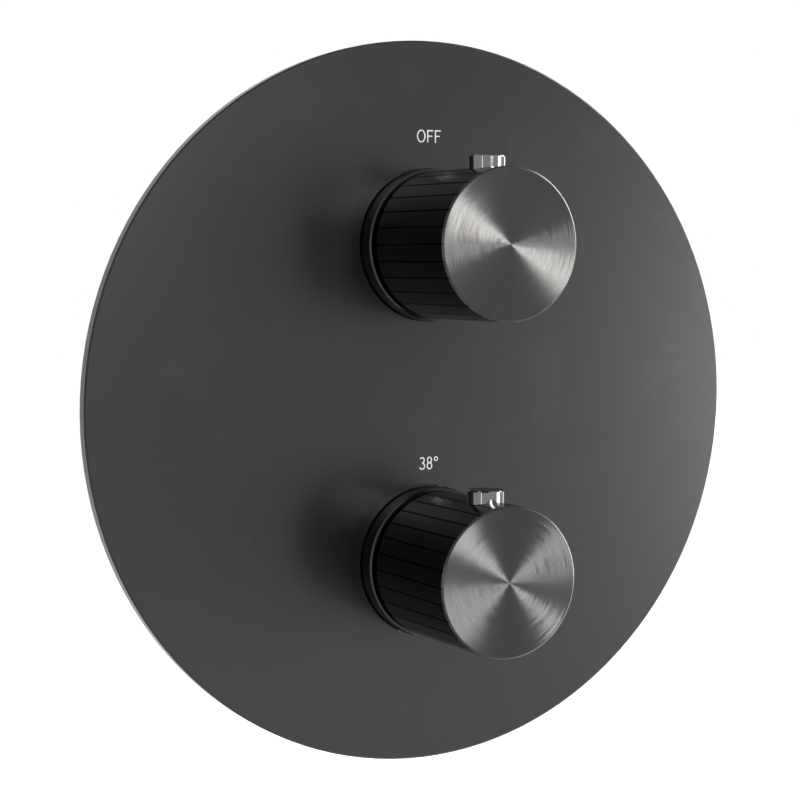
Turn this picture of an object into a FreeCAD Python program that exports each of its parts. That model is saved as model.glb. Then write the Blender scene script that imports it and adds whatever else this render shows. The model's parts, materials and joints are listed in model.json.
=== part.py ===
import FreeCAD, Part

import math
import os

import Sketcher

# A concealed thermostatic shower valve with two controls on one round cover plate.
# The upper knob opens the flow and chooses the outlet, the lower knob sets the temperature.
#
# Frame: origin at the centre of the cover plate's back face, where it meets the finished wall.
# +Z is up, +X is right and +Y goes into the wall, so the knobs stand out towards -Y.
# Turned pieces are drawn as (radius, out), where out is the distance in front of the wall plane.

# Every driving dimension in millimetres: name, value.
DIMENSIONS = (
    # cover plate
    ("plate_radius", 100.0),
    ("plate_thickness", 3.5),
    ("plate_edge", 0.45),
    ("plate_hole_gap", 0.4),
    ("gasket_inset", 4.0),
    ("gasket_width", 6.0),
    ("gasket_depth", 1.8),
    ("seat_gap", 0.1),
    ("axis_height", 44.0),
    # base sleeves
    ("sleeve_lip", 0.6),
    ("sleeve_wall", 3.0),
    ("sleeve_front", 9.0),
    ("sleeve_edge", 0.4),
    ("sleeve_tail", 14.0),
    ("sleeve_step", 4.5),
    ("sleeve_seal_depth", 0.9),
    ("sleeve_seal_width", 1.6),
    # knobs
    ("knob_radius", 20.2),
    ("knob_front", 48.0),
    ("knob_rear", 11.1),
    ("knob_edge", 0.5),
    ("knob_wall", 3.4),
    ("knob_face_wall", 4.0),
    ("neck_rear", 6.0),
    ("neck_wall", 1.0),
    ("neck_gap", 1.0),
    ("groove_count", 28),
    ("groove_width", 0.5),
    ("groove_depth", 0.35),
    ("hub_radius", 11.3),
    ("hub_bore", 7.5),
    ("hub_set_back", 7.5),
    ("hub_length", 9.0),
    ("post_radius", 6.0),
    ("post_flat_depth", 1.4),
    # buttons in the knobs
    ("button_set_back", 12.5),
    ("button_radius", 4.95),
    ("button_proud", 3.05),
    ("button_edge", 0.35),
    ("button_gap", 0.1),
    ("button_travel", 2.4),
    ("flange_lip", 0.75),
    ("flange_depth", 1.2),
    ("flange_wall", 1.0),
    ("stem_radius", 2.6),
    ("stem_tail", 1.5),
    ("catch_radius", 5.0),
    ("catch_wall", 1.7),
    ("blade_width", 1.6),
    ("blade_height", 1.9),
    ("blade_clear", 0.6),
    ("blade_rear", 10.0),
    ("catch_gap", 0.4),
    ("button_spring_radius", 3.1),
    ("fine_wire", 0.3),
    # stop rings on the noses of the cartridge nuts
    ("ring_front", 8.0),
    ("ring_gap", 0.4),
    ("stop_front", 13.0),
    ("clip_wall", 0.8),
    ("clip_depth", 0.6),
    # drive of the spindles
    ("hex_flats", 8.0),
    ("hex_short", 1.0),
    ("hex_rear", 16.0),
    ("fit_gap", 0.05),
    ("insert_collar", 9.0),
    ("insert_collar_wall", 1.4),
    ("grub_radius", 2.45),
    ("grub_length", 3.6),
    ("grub_socket", 2.5),
    ("grub_point", 0.4),
    # cartridge nuts
    ("nut_lip", 1.45),
    ("nut_rear", 8.0),
    ("nut_front", 5.0),
    ("nose_radius", 9.9),
    ("nose_front", 9.5),
    # cartridges
    ("cartridge_radius", 13.4),
    ("cartridge_front", 8.2),
    ("spindle_radius", 6.0),
    ("spindle_flange", 9.8),
    ("spindle_flange_front", 8.3),
    ("spindle_flange_rear", 12.0),
    ("seal_wire", 1.0),
    ("window_width", 9.0),
    ("mixed_port", 30.0),
    ("hot_port", 40.0),
    ("cold_port", 50.0),
    ("port_window", 6.0),
    # thermostatic cartridge
    ("thermo_wall", 2.9),
    ("thermo_rear", 59.5),
    ("thermo_floor", 2.5),
    ("lead_screw_radius", 4.0),
    ("lead_screw_rear", 24.0),
    ("lead_screw_over", 2.0),
    ("drive_nut_front", 16.0),
    ("drive_nut_rear", 28.0),
    ("element_front", 33.0),
    ("element_rear", 52.0),
    ("element_radius", 4.5),
    ("element_flange", 7.5),
    ("element_lip", 1.5),
    ("element_bevel", 1.0),
    ("element_pin", 1.5),
    ("piston_front", 39.5),
    ("piston_rear", 50.5),
    ("piston_wall", 1.6),
    ("piston_hub_wall", 1.5),
    ("piston_hub_reach", 3.0),
    ("piston_web_reach", 1.0),
    ("piston_holes", 4),
    ("hole_land", 0.2),
    ("coarse_wire", 0.55),
    ("overload_inset", 2.0),
    ("return_inset", 1.0),
    # flow and diverter cartridge
    ("flow_wall", 1.8),
    ("flow_rear", 50.0),
    ("disc_play", 0.2),
    ("disc_wall", 3.9),
    ("disc_gap", 0.05),
    ("disc_port_radius", 2.8),
    ("disc_port_offset", 5.5),
    ("driver_width", 5.0),
    ("driver_neck", 3.5),
    ("driver_inset", 0.9),
    ("driver_dog", 1.4),
    ("driver_wall", 3.2),
    ("seat_seal_gap", 0.3),
    ("seat_seal_wall", 2.3),
    # brass body
    ("tower_front", 4.0),
    ("barrel_wall", 7.5),
    ("barrel_front", 20.0),
    ("barrel_rear", 66.0),
    ("tower_wall", 4.0),
    ("thermo_over", 0.5),
    ("seal_over", 0.2),
    ("duct_radius", 11.0),
    ("duct_bore", 5.5),
    ("duct_shift", 2.0),
    ("port_radius", 12.5),
    ("port_thread_radius", 9.5),
    ("port_thread_length", 15.0),
    ("port_reach", 60.0),
    ("top_reach", 38.0),
    ("inlet_depth", 45.0),
    ("outlet_depth", 53.0),
    ("inlet_bore", 3.8),
    ("inlet_bore_shift", 4.5),
    ("outlet_bore_depth", 56.5),
    ("gallery_wider", 0.3),
    ("gallery_start", 1.5),
    # check valves and filters
    ("check_bore", 8.5),
    ("check_bore_inner", 28.0),
    ("check_inner", 28.5),
    ("check_outer", 43.5),
    ("check_throat", 6.4),
    ("check_seat_radius", 4.5),
    ("check_seat_wall", 3.0),
    ("check_spider", 32.0),
    ("check_spider_wall", 2.0),
    ("check_spider_hole", 1.8),
    ("check_spider_holes", 3),
    ("check_spring_radius", 2.6),
    ("poppet_radius", 5.8),
    ("poppet_wall", 2.0),
    ("poppet_stem", 1.2),
    ("poppet_stem_over", 0.5),
    ("filter_wall", 1.2),
    ("filter_hole", 1.6),
    ("filter_holes", 6),
    ("filter_circle", 5.04),
    # mounting bracket
    ("bracket_width", 84.0),
    ("bracket_height", 142.0),
    ("bracket_wall", 2.0),
    ("bracket_corner", 8.0),
    ("slot_spacing_x", 64.0),
    ("slot_spacing_z", 124.0),
    ("slot_radius", 2.75),
    ("slot_length", 12.0),
    ("screw_offset", 14.0),
    ("screw_radius", 2.4),
    ("screw_head", 4.6),
    ("screw_head_wall", 2.4),
    ("screw_head_slope", 0.8),
    ("screw_hole_over", 0.5),
    ("screw_bite", 4.5),
    # how far a cut runs past the face that it goes through
    ("cut_over", 1.0),
)

SPRING_SIDES = 4
BUTTON_SPRING_TURNS = 3
THERMOSTAT_SPRING_TURNS = 2
CHECK_SPRING_TURNS = 2

# Knob travel in degrees from rest, anticlockwise as seen from the front: end stops of each control.
FLOW_TRAVEL = (-90.0, 90.0)
TEMPERATURE_TRAVEL = (-150.0, 90.0)
STOP_SLACK = 2.0


class Dim:
    """A length written as an expression on the sheet, so that arithmetic on sizes stays parametric."""

    def __init__(self, text):
        self.text = text

    def __add__(self, other):
        return Dim(f"({self.text} + {plain(other)})")

    def __radd__(self, other):
        return Dim(f"({plain(other)} + {self.text})")

    def __sub__(self, other):
        return Dim(f"({self.text} - {plain(other)})")

    def __rsub__(self, other):
        return Dim(f"({plain(other)} - {self.text})")

    def __mul__(self, other):
        return Dim(f"({self.text} * {plain(other)})")

    def __rmul__(self, other):
        return Dim(f"({plain(other)} * {self.text})")

    def __truediv__(self, other):
        return Dim(f"({self.text} / {plain(other)})")

    def __neg__(self):
        return Dim(f"(0 - {self.text})")


class Sizes:
    """Gives each named dimension of the sheet as a Dim: size.knob_radius."""

    def __getattr__(self, name):
        return Dim("size." + name)


def plain(value):
    """The expression text of a Dim or a number."""
    return value.text if isinstance(value, Dim) else repr(float(value))


def larger(first, second):
    return Dim(f"max({plain(first)}; {plain(second)})")


def smaller(first, second):
    return Dim(f"min({plain(first)}; {plain(second)})")


def height_at(radius, reach):
    """How high a circle of this radius stands at this distance from its middle."""
    return Dim(f"sqrt({plain(radius * radius)} - {plain(reach * reach)})")


def number(value):
    """The present value of a Dim or a number, in millimetres."""
    if not isinstance(value, Dim):
        return float(value)
    result = sheet.evalExpression(value.text)
    return float(getattr(result, "Value", result))


def make_sheet(document):
    """The spreadsheet of driving dimensions."""
    result = document.addObject("Spreadsheet::Sheet", "size")
    for row, (name, value) in enumerate(DIMENSIONS, 1):
        result.set(f"A{row}", name)
        result.set(f"B{row}", str(value))
        result.setAlias(f"B{row}", name)
    document.recompute()
    return result


doc = FreeCAD.newDocument("shower_valve")
sheet = make_sheet(doc)
size = Sizes()
parts = []

# Sizes that follow from others, so that what fits together stays together.
gasket_radius = size.plate_radius - size.gasket_inset
button_out = size.knob_front - size.button_set_back
flange_radius = size.button_radius + size.flange_lip
hub_front = button_out - size.hub_set_back
hub_rear = hub_front - size.hub_length
hex_front = hub_front - size.hex_short
cavity_radius = size.cartridge_radius + size.seat_gap
tower_radius = cavity_radius + size.tower_wall
sleeve_radius = larger(size.knob_radius + size.sleeve_lip, tower_radius + size.sleeve_wall)
barrel_radius = cavity_radius + size.barrel_wall
nut_thread = cavity_radius + size.nut_lip
seat_seal_radius = cavity_radius - size.seat_seal_gap
thermo_bore = size.cartridge_radius - size.thermo_wall
piston_radius = thermo_bore - size.seat_gap
flow_bore = size.cartridge_radius - size.flow_wall
disc_radius = flow_bore - size.disc_play
flow_cavity_rear = size.flow_rear + size.seat_seal_wall + size.seal_over
thermo_cavity_rear = size.thermo_rear + size.thermo_over


# ---------------------------------------------------------------- building blocks

# A piece turned about the knobs' axis is drawn with out along its own +Y, then faced towards -Y.
FACING_OUT = FreeCAD.Rotation(FreeCAD.Vector(0, 0, 1), 180)
UNTURNED = FreeCAD.Rotation()
UPRIGHT = FreeCAD.Rotation(FreeCAD.Vector(1, 0, 0), 90)
TO_RIGHT = FreeCAD.Rotation(FreeCAD.Vector(0, 0, 1), -90)
TO_LEFT = FreeCAD.Rotation(FreeCAD.Vector(0, 0, 1), 90)
UPPER = (0, 0, size.axis_height)
LOWER = (0, 0, -size.axis_height)


def settle(item, spot, rotation=FACING_OUT):
    """Turns an object and binds its place to the sheet."""
    item.Placement = FreeCAD.Placement(FreeCAD.Vector(0, 0, 0), rotation)
    for axis, distance in zip("xyz", spot):
        if isinstance(distance, Dim):
            item.setExpression(f"Placement.Base.{axis}", distance.text)


def new_body(label):
    body = doc.addObject("PartDesign::Body", label)
    body.Label = label
    parts.append(body)
    return body


def origin_plane(body, role):
    return next(item for item in body.Origin.OriginFeatures if item.Role == role)


def new_sketch(body, role, offset=None):
    """A sketch on one of the body's own origin planes, moved along the plane's normal by offset."""
    sketch = body.newObject("Sketcher::SketchObject", body.Label + "_sketch")
    sketch.AttachmentSupport = [(origin_plane(body, role), "")]
    sketch.MapMode = "FlatFace"
    if offset is not None:
        sketch.setExpression("AttachmentOffset.Base.z", plain(offset))
    return sketch


def tie(sketch, kind, *where, to):
    """Adds one dimension to a sketch and binds it to the sheet."""
    index = sketch.addConstraint(Sketcher.Constraint(kind, *where, number(to)))
    sketch.setExpression(f"Constraints[{index}]", plain(to))


def hold_point(sketch, item, end, spot):
    """Places one point of a sketch at (x, y) from the sketch's origin."""
    for kind, axis, distance in (("DistanceX", -2, spot[0]), ("DistanceY", -1, spot[1])):
        if number(distance) == 0:
            sketch.addConstraint(Sketcher.Constraint("PointOnObject", item, end, axis))
        else:
            tie(sketch, kind, -1, 1, item, end, to=distance)


def draw_outline(sketch, corners):
    """A closed outline of straight edges through the corners."""
    spots = [FreeCAD.Vector(number(x), number(y), 0) for x, y in corners]
    count = len(corners)
    first = sketch.GeometryCount
    for i in range(count):
        sketch.addGeometry(Part.LineSegment(spots[i], spots[(i + 1) % count]), False)
    for i in range(count):
        after = first + (i + 1) % count
        sketch.addConstraint(Sketcher.Constraint("Coincident", first + i, 2, after, 1))
    for i, corner in enumerate(corners):
        hold_point(sketch, first + i, 1, corner)


def draw_circle(sketch, centre, radius):
    middle = FreeCAD.Vector(number(centre[0]), number(centre[1]), 0)
    item = sketch.addGeometry(Part.Circle(middle, FreeCAD.Vector(0, 0, 1), number(radius)), False)
    hold_point(sketch, item, 3, centre)
    tie(sketch, "Radius", item, to=radius)


def draw_hexagon(sketch, flats):
    """A hexagon about the sketch's origin, given its distance across flats."""
    corner = flats / math.sqrt(3)
    half = flats / 2
    low = corner / 2
    upper = [(corner, 0), (low, half), (-low, half)]
    draw_outline(sketch, upper + [(-corner, 0), (-low, -half), (low, -half)])


def turned(label, corners, spot, rotation=FACING_OUT):
    """A body of revolution about its own Y axis."""
    body = new_body(label)
    sketch = new_sketch(body, "XY_Plane")
    draw_outline(sketch, corners)
    revolution = body.newObject("PartDesign::Revolution", label + "_revolution")
    revolution.Profile = sketch
    revolution.ReferenceAxis = (sketch, ["V_Axis"])
    revolution.Angle = 360
    settle(body, spot, rotation)
    doc.recompute()
    return body


def pad(body, sketch, length, reverse=False, middle=False):
    feature = body.newObject("PartDesign::Pad", body.Label + "_pad")
    feature.Profile = sketch
    feature.setExpression("Length", plain(length))
    feature.Reversed = reverse
    if middle:
        feature.SideType = "Symmetric"
    doc.recompute()
    return feature


def pocket(body, sketch, length, reverse=False, middle=False):
    """Cuts a sketch into the body, and stops if the cut removes nothing."""
    before = body.Shape.Volume
    feature = body.newObject("PartDesign::Pocket", body.Label + "_pocket")
    feature.Profile = sketch
    feature.setExpression("Length", plain(length))
    feature.Reversed = reverse
    if middle:
        feature.SideType = "Symmetric"
    doc.recompute()
    if body.Shape.Volume >= before:
        raise ValueError(f"{feature.Label} cuts nothing")
    return feature


def around(body, feature, count, role="Y_Axis"):
    """Repeats a feature evenly round one of the body's axes."""
    pattern = body.newObject("PartDesign::PolarPattern", body.Label + "_pattern")
    pattern.Originals = [feature]
    pattern.Axis = (origin_plane(body, role), [""])
    pattern.Angle = 360
    if isinstance(count, Dim):
        pattern.setExpression("Occurrences", count.text)
    else:
        pattern.Occurrences = count
    body.Tip = pattern
    doc.recompute()
    return pattern


def drilled(body, centres, radius, start, length):
    """Round holes along the body's Y axis, from start towards greater out."""
    sketch = new_sketch(body, "XZ_Plane", -start)
    for centre in centres:
        draw_circle(sketch, centre, radius)
    return pocket(body, sketch, length)


def joined(label, shapes, spot=(0, 0, 0), rotation=UNTURNED):
    """Several separate like solids kept as one node."""
    group = doc.addObject("Part::Compound", label)
    group.Label = label
    group.Links = shapes
    settle(group, spot, rotation)
    parts.append(group)
    return group


def take_back(body):
    """Takes a piece off the list of nodes, because a group of like pieces holds it."""
    parts.remove(body)
    return body


def coil(wire_radius, mean_radius, length, turns):
    """A compression spring about +Z from z = 0: flat and tilted half turns that meet smoothly."""
    wire_radius, mean_radius, length = number(wire_radius), number(mean_radius), number(length)
    pitch = (length - 2 * wire_radius) / turns
    lean = math.atan2(pitch / 2, mean_radius)
    slant = FreeCAD.Vector(math.cos(lean), 0, math.sin(lean))
    slant_axis = FreeCAD.Vector(-math.sin(lean), 0, math.cos(lean))
    slant_radius = math.hypot(mean_radius, pitch / 2)
    across = FreeCAD.Vector(1, 0, 0)
    up = FreeCAD.Vector(0, 0, 1)
    pieces = []
    for turn in range(turns + 1):
        centre = up * (wire_radius + pitch * turn)
        pieces.append(half_ring(centre, up, across * mean_radius, wire_radius))
        if turn < turns:
            middle = centre + up * (pitch / 2)
            pieces.append(half_ring(middle, slant_axis, slant * -slant_radius, wire_radius))
    return pieces[0].fuse(pieces[1:]).removeSplitter()


def half_ring(centre, axis, arm, wire_radius):
    """Half a turn of wire: a square section at the end of arm, swung half way round the axis."""
    start = centre + arm
    outward = arm * (1 / arm.Length)
    corners = []
    for i in range(SPRING_SIDES + 1):
        angle = 2 * math.pi * i / SPRING_SIDES
        offset = outward * math.cos(angle) + axis * math.sin(angle)
        corners.append(start + offset * wire_radius)
    section = Part.Face(Part.makePolygon(corners))
    return section.revolve(centre, axis, 180)


def spring(label, wire_radius, mean_radius, length, turns, spot, rotation):
    """A coil spring as a document object."""
    feature = doc.addObject("Part::Feature", label)
    feature.Label = label
    feature.Shape = coil(wire_radius, mean_radius, length, turns)
    settle(feature, spot, rotation)
    parts.append(feature)
    doc.recompute()
    return feature


def seal_ring(label, inner, outer, rear, front, spot, rotation=FACING_OUT):
    """A rubber ring as it lies when squeezed in its groove, with a square section."""
    return turned(label, [(inner, rear), (outer, rear), (outer, front), (inner, front)], spot, rotation)


# ---------------------------------------------------------------- cover plate and sleeves

plate_hole = sleeve_radius + size.plate_hole_gap


def cover_plate():
    """The round trim plate: two holes for the sleeves and a groove behind for the gasket."""
    groove_outer = gasket_radius + size.seat_gap
    groove_inner = gasket_radius - size.gasket_width - size.seat_gap
    corners = [
        (0, 0),
        (groove_inner, 0),
        (groove_inner, size.gasket_depth),
        (groove_outer, size.gasket_depth),
        (groove_outer, 0),
        (size.plate_radius, 0),
        (size.plate_radius, size.plate_thickness - size.plate_edge),
        (size.plate_radius - size.plate_edge, size.plate_thickness),
        (0, size.plate_thickness),
    ]
    body = turned("cover_plate", corners, (0, 0, 0))
    centres = [(0, size.axis_height), (0, -size.axis_height)]
    drilled(body, centres, plate_hole, -size.cut_over, size.plate_thickness + size.cut_over * 2)


def wall_gasket():
    """The ring that seals the plate to the wall, pressed flush with the plate's back."""
    inner = gasket_radius - size.gasket_width
    rear = 0
    front = size.gasket_depth - size.seat_gap
    corners = [(inner, rear), (gasket_radius, rear), (gasket_radius, front), (inner, front)]
    turned("wall_gasket", corners, (0, 0, 0))


def base_sleeve(label, spot):
    """Screws over the tower and passes the plate. Its front edge is the ring behind the knob."""
    thread = tower_radius + size.seat_gap
    mouth = size.neck_gap + size.knob_radius - size.knob_wall + size.neck_wall
    groove = sleeve_radius - size.sleeve_seal_depth
    middle = size.plate_thickness / 2
    low = middle - size.sleeve_seal_width / 2
    high = middle + size.sleeve_seal_width / 2
    corners = [
        (thread, -size.sleeve_tail),
        (sleeve_radius, -size.sleeve_tail),
        (sleeve_radius, low),
        (groove, low),
        (groove, high),
        (sleeve_radius, high),
        (sleeve_radius, size.sleeve_front - size.sleeve_edge),
        (sleeve_radius - size.sleeve_edge, size.sleeve_front),
        (mouth, size.sleeve_front),
        (mouth, size.sleeve_step),
        (thread, size.sleeve_step),
    ]
    turned(label, corners, spot)


def sleeve_seals():
    """The ring in each sleeve's groove, which closes the gap to the plate."""
    inner = sleeve_radius - size.sleeve_seal_depth + size.fit_gap
    outer = plate_hole - size.fit_gap
    middle = size.plate_thickness / 2
    reach = size.sleeve_seal_width / 2 - size.fit_gap
    rings = []
    for name, spot in (("sleeve_seal_upper", UPPER), ("sleeve_seal_lower", LOWER)):
        rings.append(take_back(seal_ring(name, inner, outer, middle - reach, middle + reach, spot)))
    joined("sleeve_seals", rings)


# ---------------------------------------------------------------- knobs and their buttons

knob_bore = size.knob_radius - size.knob_wall
knob_floor = size.knob_front - size.knob_face_wall
flange_top = smaller(knob_bore - size.flange_depth, height_at(knob_bore, flange_radius))
flange_base = flange_top - size.flange_wall
catch_base = flange_base - size.catch_wall
post_flat = size.post_radius - size.post_flat_depth


def knob(label, spot):
    """A ribbed shell with a hub for the insert, a post for the button spring and a rear neck."""
    neck = knob_bore + size.neck_wall
    corners = [
        (0, size.knob_front),
        (size.knob_radius - size.knob_edge, size.knob_front),
        (size.knob_radius, size.knob_front - size.knob_edge),
        (size.knob_radius, size.knob_rear + size.knob_edge),
        (size.knob_radius - size.knob_edge, size.knob_rear),
        (neck, size.knob_rear),
        (neck, size.neck_rear),
        (knob_bore, size.neck_rear),
        (knob_bore, knob_floor),
        (size.post_radius, knob_floor),
        (size.post_radius, hub_front),
        (size.hub_radius, hub_front),
        (size.hub_radius, hub_rear),
        (size.hub_bore, hub_rear),
        (size.hub_bore, hub_front - size.seat_gap),
        (0, hub_front - size.seat_gap),
    ]
    body = turned(label, corners, spot)
    button_bore(body)
    grub_bore(body)
    flank_grooves(body)


def button_bore(body):
    """The radial bore at the top of the knob, and the flat on the post under the spring."""
    bore = new_sketch(body, "XY_Plane", size.hub_radius)
    draw_circle(bore, (0, button_out), size.button_radius + size.button_gap)
    pocket(body, bore, size.knob_radius, reverse=True)
    flat = new_sketch(body, "XY_Plane", post_flat)
    draw_circle(flat, (0, button_out), size.button_spring_radius + size.fine_wire * 2)
    pocket(body, flat, size.post_radius, reverse=True)


def grub_bore(body):
    """The hole under the knob through which the grub screw is reached, on through the hub."""
    sketch = new_sketch(body, "XY_Plane", -size.hub_bore + size.cut_over)
    draw_circle(sketch, (0, grub_out), size.grub_radius + size.fit_gap)
    pocket(body, sketch, size.knob_radius)


def flank_grooves(body):
    """Fine straight V grooves along the whole flank."""
    sketch = new_sketch(body, "XZ_Plane", -size.knob_rear + size.cut_over)
    tip = size.knob_radius - size.groove_depth
    over = size.knob_radius + size.groove_depth
    draw_outline(sketch, [(tip, 0), (over, size.groove_width), (over, -size.groove_width)])
    cut = pocket(body, sketch, size.knob_front - size.knob_rear + size.cut_over * 2)
    around(body, cut, size.groove_count)


grub_out = (hub_front + hub_rear) / 2


def knob_insert(label, spot):
    """The insert that carries the knob on the spindle's hexagon."""
    radius = size.hub_bore - size.fit_gap
    front = hub_front - size.seat_gap * 2
    rear = hub_rear - size.insert_collar_wall
    corners = [
        (0, rear),
        (size.insert_collar, rear),
        (size.insert_collar, hub_rear - size.fit_gap),
        (radius, hub_rear - size.fit_gap),
        (radius, front),
        (0, front),
    ]
    body = turned(label, corners, spot)
    sketch = new_sketch(body, "XZ_Plane", -rear + size.cut_over)
    draw_hexagon(sketch, size.hex_flats + size.fit_gap * 2)
    pocket(body, sketch, front - rear + size.cut_over * 2)


def grub_screw(label, height):
    """A socket grub screw in the underside of the hub, tight on the insert."""
    tip = size.hub_bore
    tail = size.hub_bore + size.grub_length
    corners = [
        (0, tip),
        (size.grub_radius - size.grub_point, tip),
        (size.grub_radius, tip + size.grub_point),
        (size.grub_radius, tail),
        (0, tail),
    ]
    spot = (0, -grub_out, height)
    body = turned(label, corners, spot, FreeCAD.Rotation(FreeCAD.Vector(1, 0, 0), -90))
    sketch = new_sketch(body, "XZ_Plane", -tail)
    draw_hexagon(sketch, size.grub_socket)
    pocket(body, sketch, size.grub_length / 2, reverse=True)


def button(label, height):
    """The push button: a plain pin outside, with a flange inside the knob wall and a stem."""
    top = size.knob_radius + size.button_proud
    corners = [
        (0, catch_base - size.stem_tail),
        (size.stem_radius, catch_base - size.stem_tail),
        (size.stem_radius, flange_base),
        (flange_radius, flange_base),
        (flange_radius, flange_top),
        (size.button_radius, flange_top),
        (size.button_radius, top - size.button_edge),
        (size.button_radius - size.button_edge, top),
        (0, top),
    ]
    turned(label, corners, (0, -button_out, height), UPRIGHT)


def catch(label, spot):
    """The catch on the button's stem: a disc and a blade that runs back to the stop ring."""
    body = new_body(label)
    disc = new_sketch(body, "XY_Plane", catch_base)
    draw_circle(disc, (0, button_out), size.catch_radius)
    draw_circle(disc, (0, button_out), size.stem_radius + size.fit_gap)
    pad(body, disc, size.catch_wall - size.fit_gap)
    blade = new_sketch(body, "YZ_Plane")
    top = knob_bore - size.blade_clear
    base = top - size.blade_height
    shoulder = flange_base - size.fit_gap
    bend = hub_front + size.blade_clear
    reach = button_out - size.stem_radius - size.catch_gap
    clear_of_flange = button_out - flange_radius - size.catch_gap
    corners = [
        (size.blade_rear, base),
        (bend - size.catch_gap, base),
        (bend, catch_base),
        (reach, catch_base),
        (reach, shoulder),
        (clear_of_flange, shoulder),
        (clear_of_flange, top),
        (size.blade_rear, top),
    ]
    draw_outline(blade, corners)
    pad(body, blade, size.blade_width, middle=True)
    settle(body, spot)


def button_spring(label, height):
    """Between the flat on the knob's post and the catch."""
    length = catch_base - post_flat - size.fit_gap * 2
    spot = (0, -button_out, height + post_flat + size.fit_gap)
    spring(label, size.fine_wire, size.button_spring_radius, length, BUTTON_SPRING_TURNS, spot, UNTURNED)


# ---------------------------------------------------------------- stop rings

ring_radius = knob_bore - size.ring_gap
blade_base = knob_bore - size.blade_clear - size.blade_height
blade_half_angle = math.degrees(number(size.blade_width / 2) / number(blade_base))


def ring_sector(inner, outer, start, end):
    """A sector of a ring between two angles, measured from the top towards the left, in plan."""
    steps = max(1, math.ceil((end - start) / 30))
    angles = [start + (end - start) * i / steps for i in range(steps + 1)]
    arcs = []
    for radius, order in ((outer, angles), (inner, angles[::-1])):
        for a, b in zip(order, order[1:]):
            arcs.append(Part.Arc(polar(radius, a), polar(radius, (a + b) / 2), polar(radius, b)).toShape())
    first, second = arcs[0].Vertexes[0].Point, arcs[steps - 1].Vertexes[1].Point
    third, fourth = arcs[steps].Vertexes[0].Point, arcs[-1].Vertexes[1].Point
    edges = arcs[:steps] + [Part.makeLine(second, third)] + arcs[steps:] + [Part.makeLine(fourth, first)]
    return Part.Face(Part.Wire(edges))


def polar(radius, degrees):
    """A point at an angle from the top, anticlockwise as seen from the front, in the wall plane."""
    angle = math.radians(degrees)
    return FreeCAD.Vector(-radius * math.sin(angle), 0, radius * math.cos(angle))


def stop_ring(label, travel, height):
    """A ring on the cartridge nut's nose, with the broad end stop that the catch meets both ways."""
    rear = number(size.nut_front + size.fit_gap)
    front = number(size.ring_front)
    outward = FreeCAD.Vector(0, -1, 0)
    base = FreeCAD.Vector(0, -rear, 0)
    ring = Part.makeCylinder(number(ring_radius), front - rear, base, outward)
    ring = ring.cut(Part.makeCylinder(number(size.nose_radius + size.fit_gap), front - rear, base, outward))
    margin = STOP_SLACK + blade_half_angle
    catch_low = number(blade_base - size.button_travel)
    sector = ring_sector(catch_low, number(ring_radius), travel[1] + margin, 360 + travel[0] - margin)
    sector.translate(outward * rear)
    stop = sector.extrude(outward * (number(size.stop_front) - rear))
    feature = doc.addObject("Part::Feature", label)
    feature.Label = label
    feature.Shape = ring.fuse(stop).removeSplitter()
    settle(feature, (0, 0, height), UNTURNED)
    parts.append(feature)
    doc.recompute()


def stop_rings():
    stop_ring("flow_stop_ring", FLOW_TRAVEL, size.axis_height)
    stop_ring("temperature_stop_ring", TEMPERATURE_TRAVEL, -size.axis_height)


def stop_ring_clips():
    """The snap ring that holds each stop ring on its nose."""
    rear = size.ring_front + size.fit_gap
    front = rear + size.clip_wall - size.fit_gap
    inner = size.nose_radius - size.clip_depth + size.fit_gap
    outer = size.nose_radius + size.clip_depth
    clips = []
    for name, spot in (("clip_upper", UPPER), ("clip_lower", LOWER)):
        corners = [(inner, rear), (outer, rear), (outer, front), (inner, front)]
        clips.append(take_back(turned(name, corners, spot)))
    joined("stop_ring_clips", clips)


# ---------------------------------------------------------------- cartridges

def cartridge_nut(label, spot):
    """Holds a cartridge down in its tower and guides the spindle."""
    groove = size.nose_radius - size.clip_depth
    bore = size.spindle_radius + size.fit_gap
    corners = [
        (bore, -size.nut_rear),
        (nut_thread, -size.nut_rear),
        (nut_thread, size.nut_front),
        (size.nose_radius, size.nut_front),
        (size.nose_radius, size.ring_front),
        (groove, size.ring_front),
        (groove, size.ring_front + size.clip_wall + size.fit_gap),
        (size.nose_radius, size.ring_front + size.clip_wall + size.fit_gap),
        (size.nose_radius, size.nose_front),
        (bore, size.nose_front),
    ]
    turned(label, corners, spot)


def spindle_corners():
    """The outline that both spindles share, from the flange to the foot of the hexagon."""
    return [
        (size.spindle_flange, -size.spindle_flange_rear),
        (size.spindle_flange, -size.spindle_flange_front),
        (size.spindle_radius, -size.spindle_flange_front),
        (size.spindle_radius, size.hex_rear),
        (0, size.hex_rear),
    ]


def drive_hexagon(body):
    sketch = new_sketch(body, "XZ_Plane", -size.hex_rear)
    draw_hexagon(sketch, size.hex_flats)
    pad(body, sketch, hex_front - size.hex_rear, reverse=True)


def temperature_spindle():
    """Turns with the knob. Its lead screw drives the nut along the cartridge."""
    corners = [
        (0, -size.lead_screw_rear),
        (size.lead_screw_radius, -size.lead_screw_rear),
        (size.lead_screw_radius, -size.spindle_flange_rear),
    ]
    body = turned("temperature_spindle", corners + spindle_corners(), LOWER)
    drive_hexagon(body)


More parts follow.
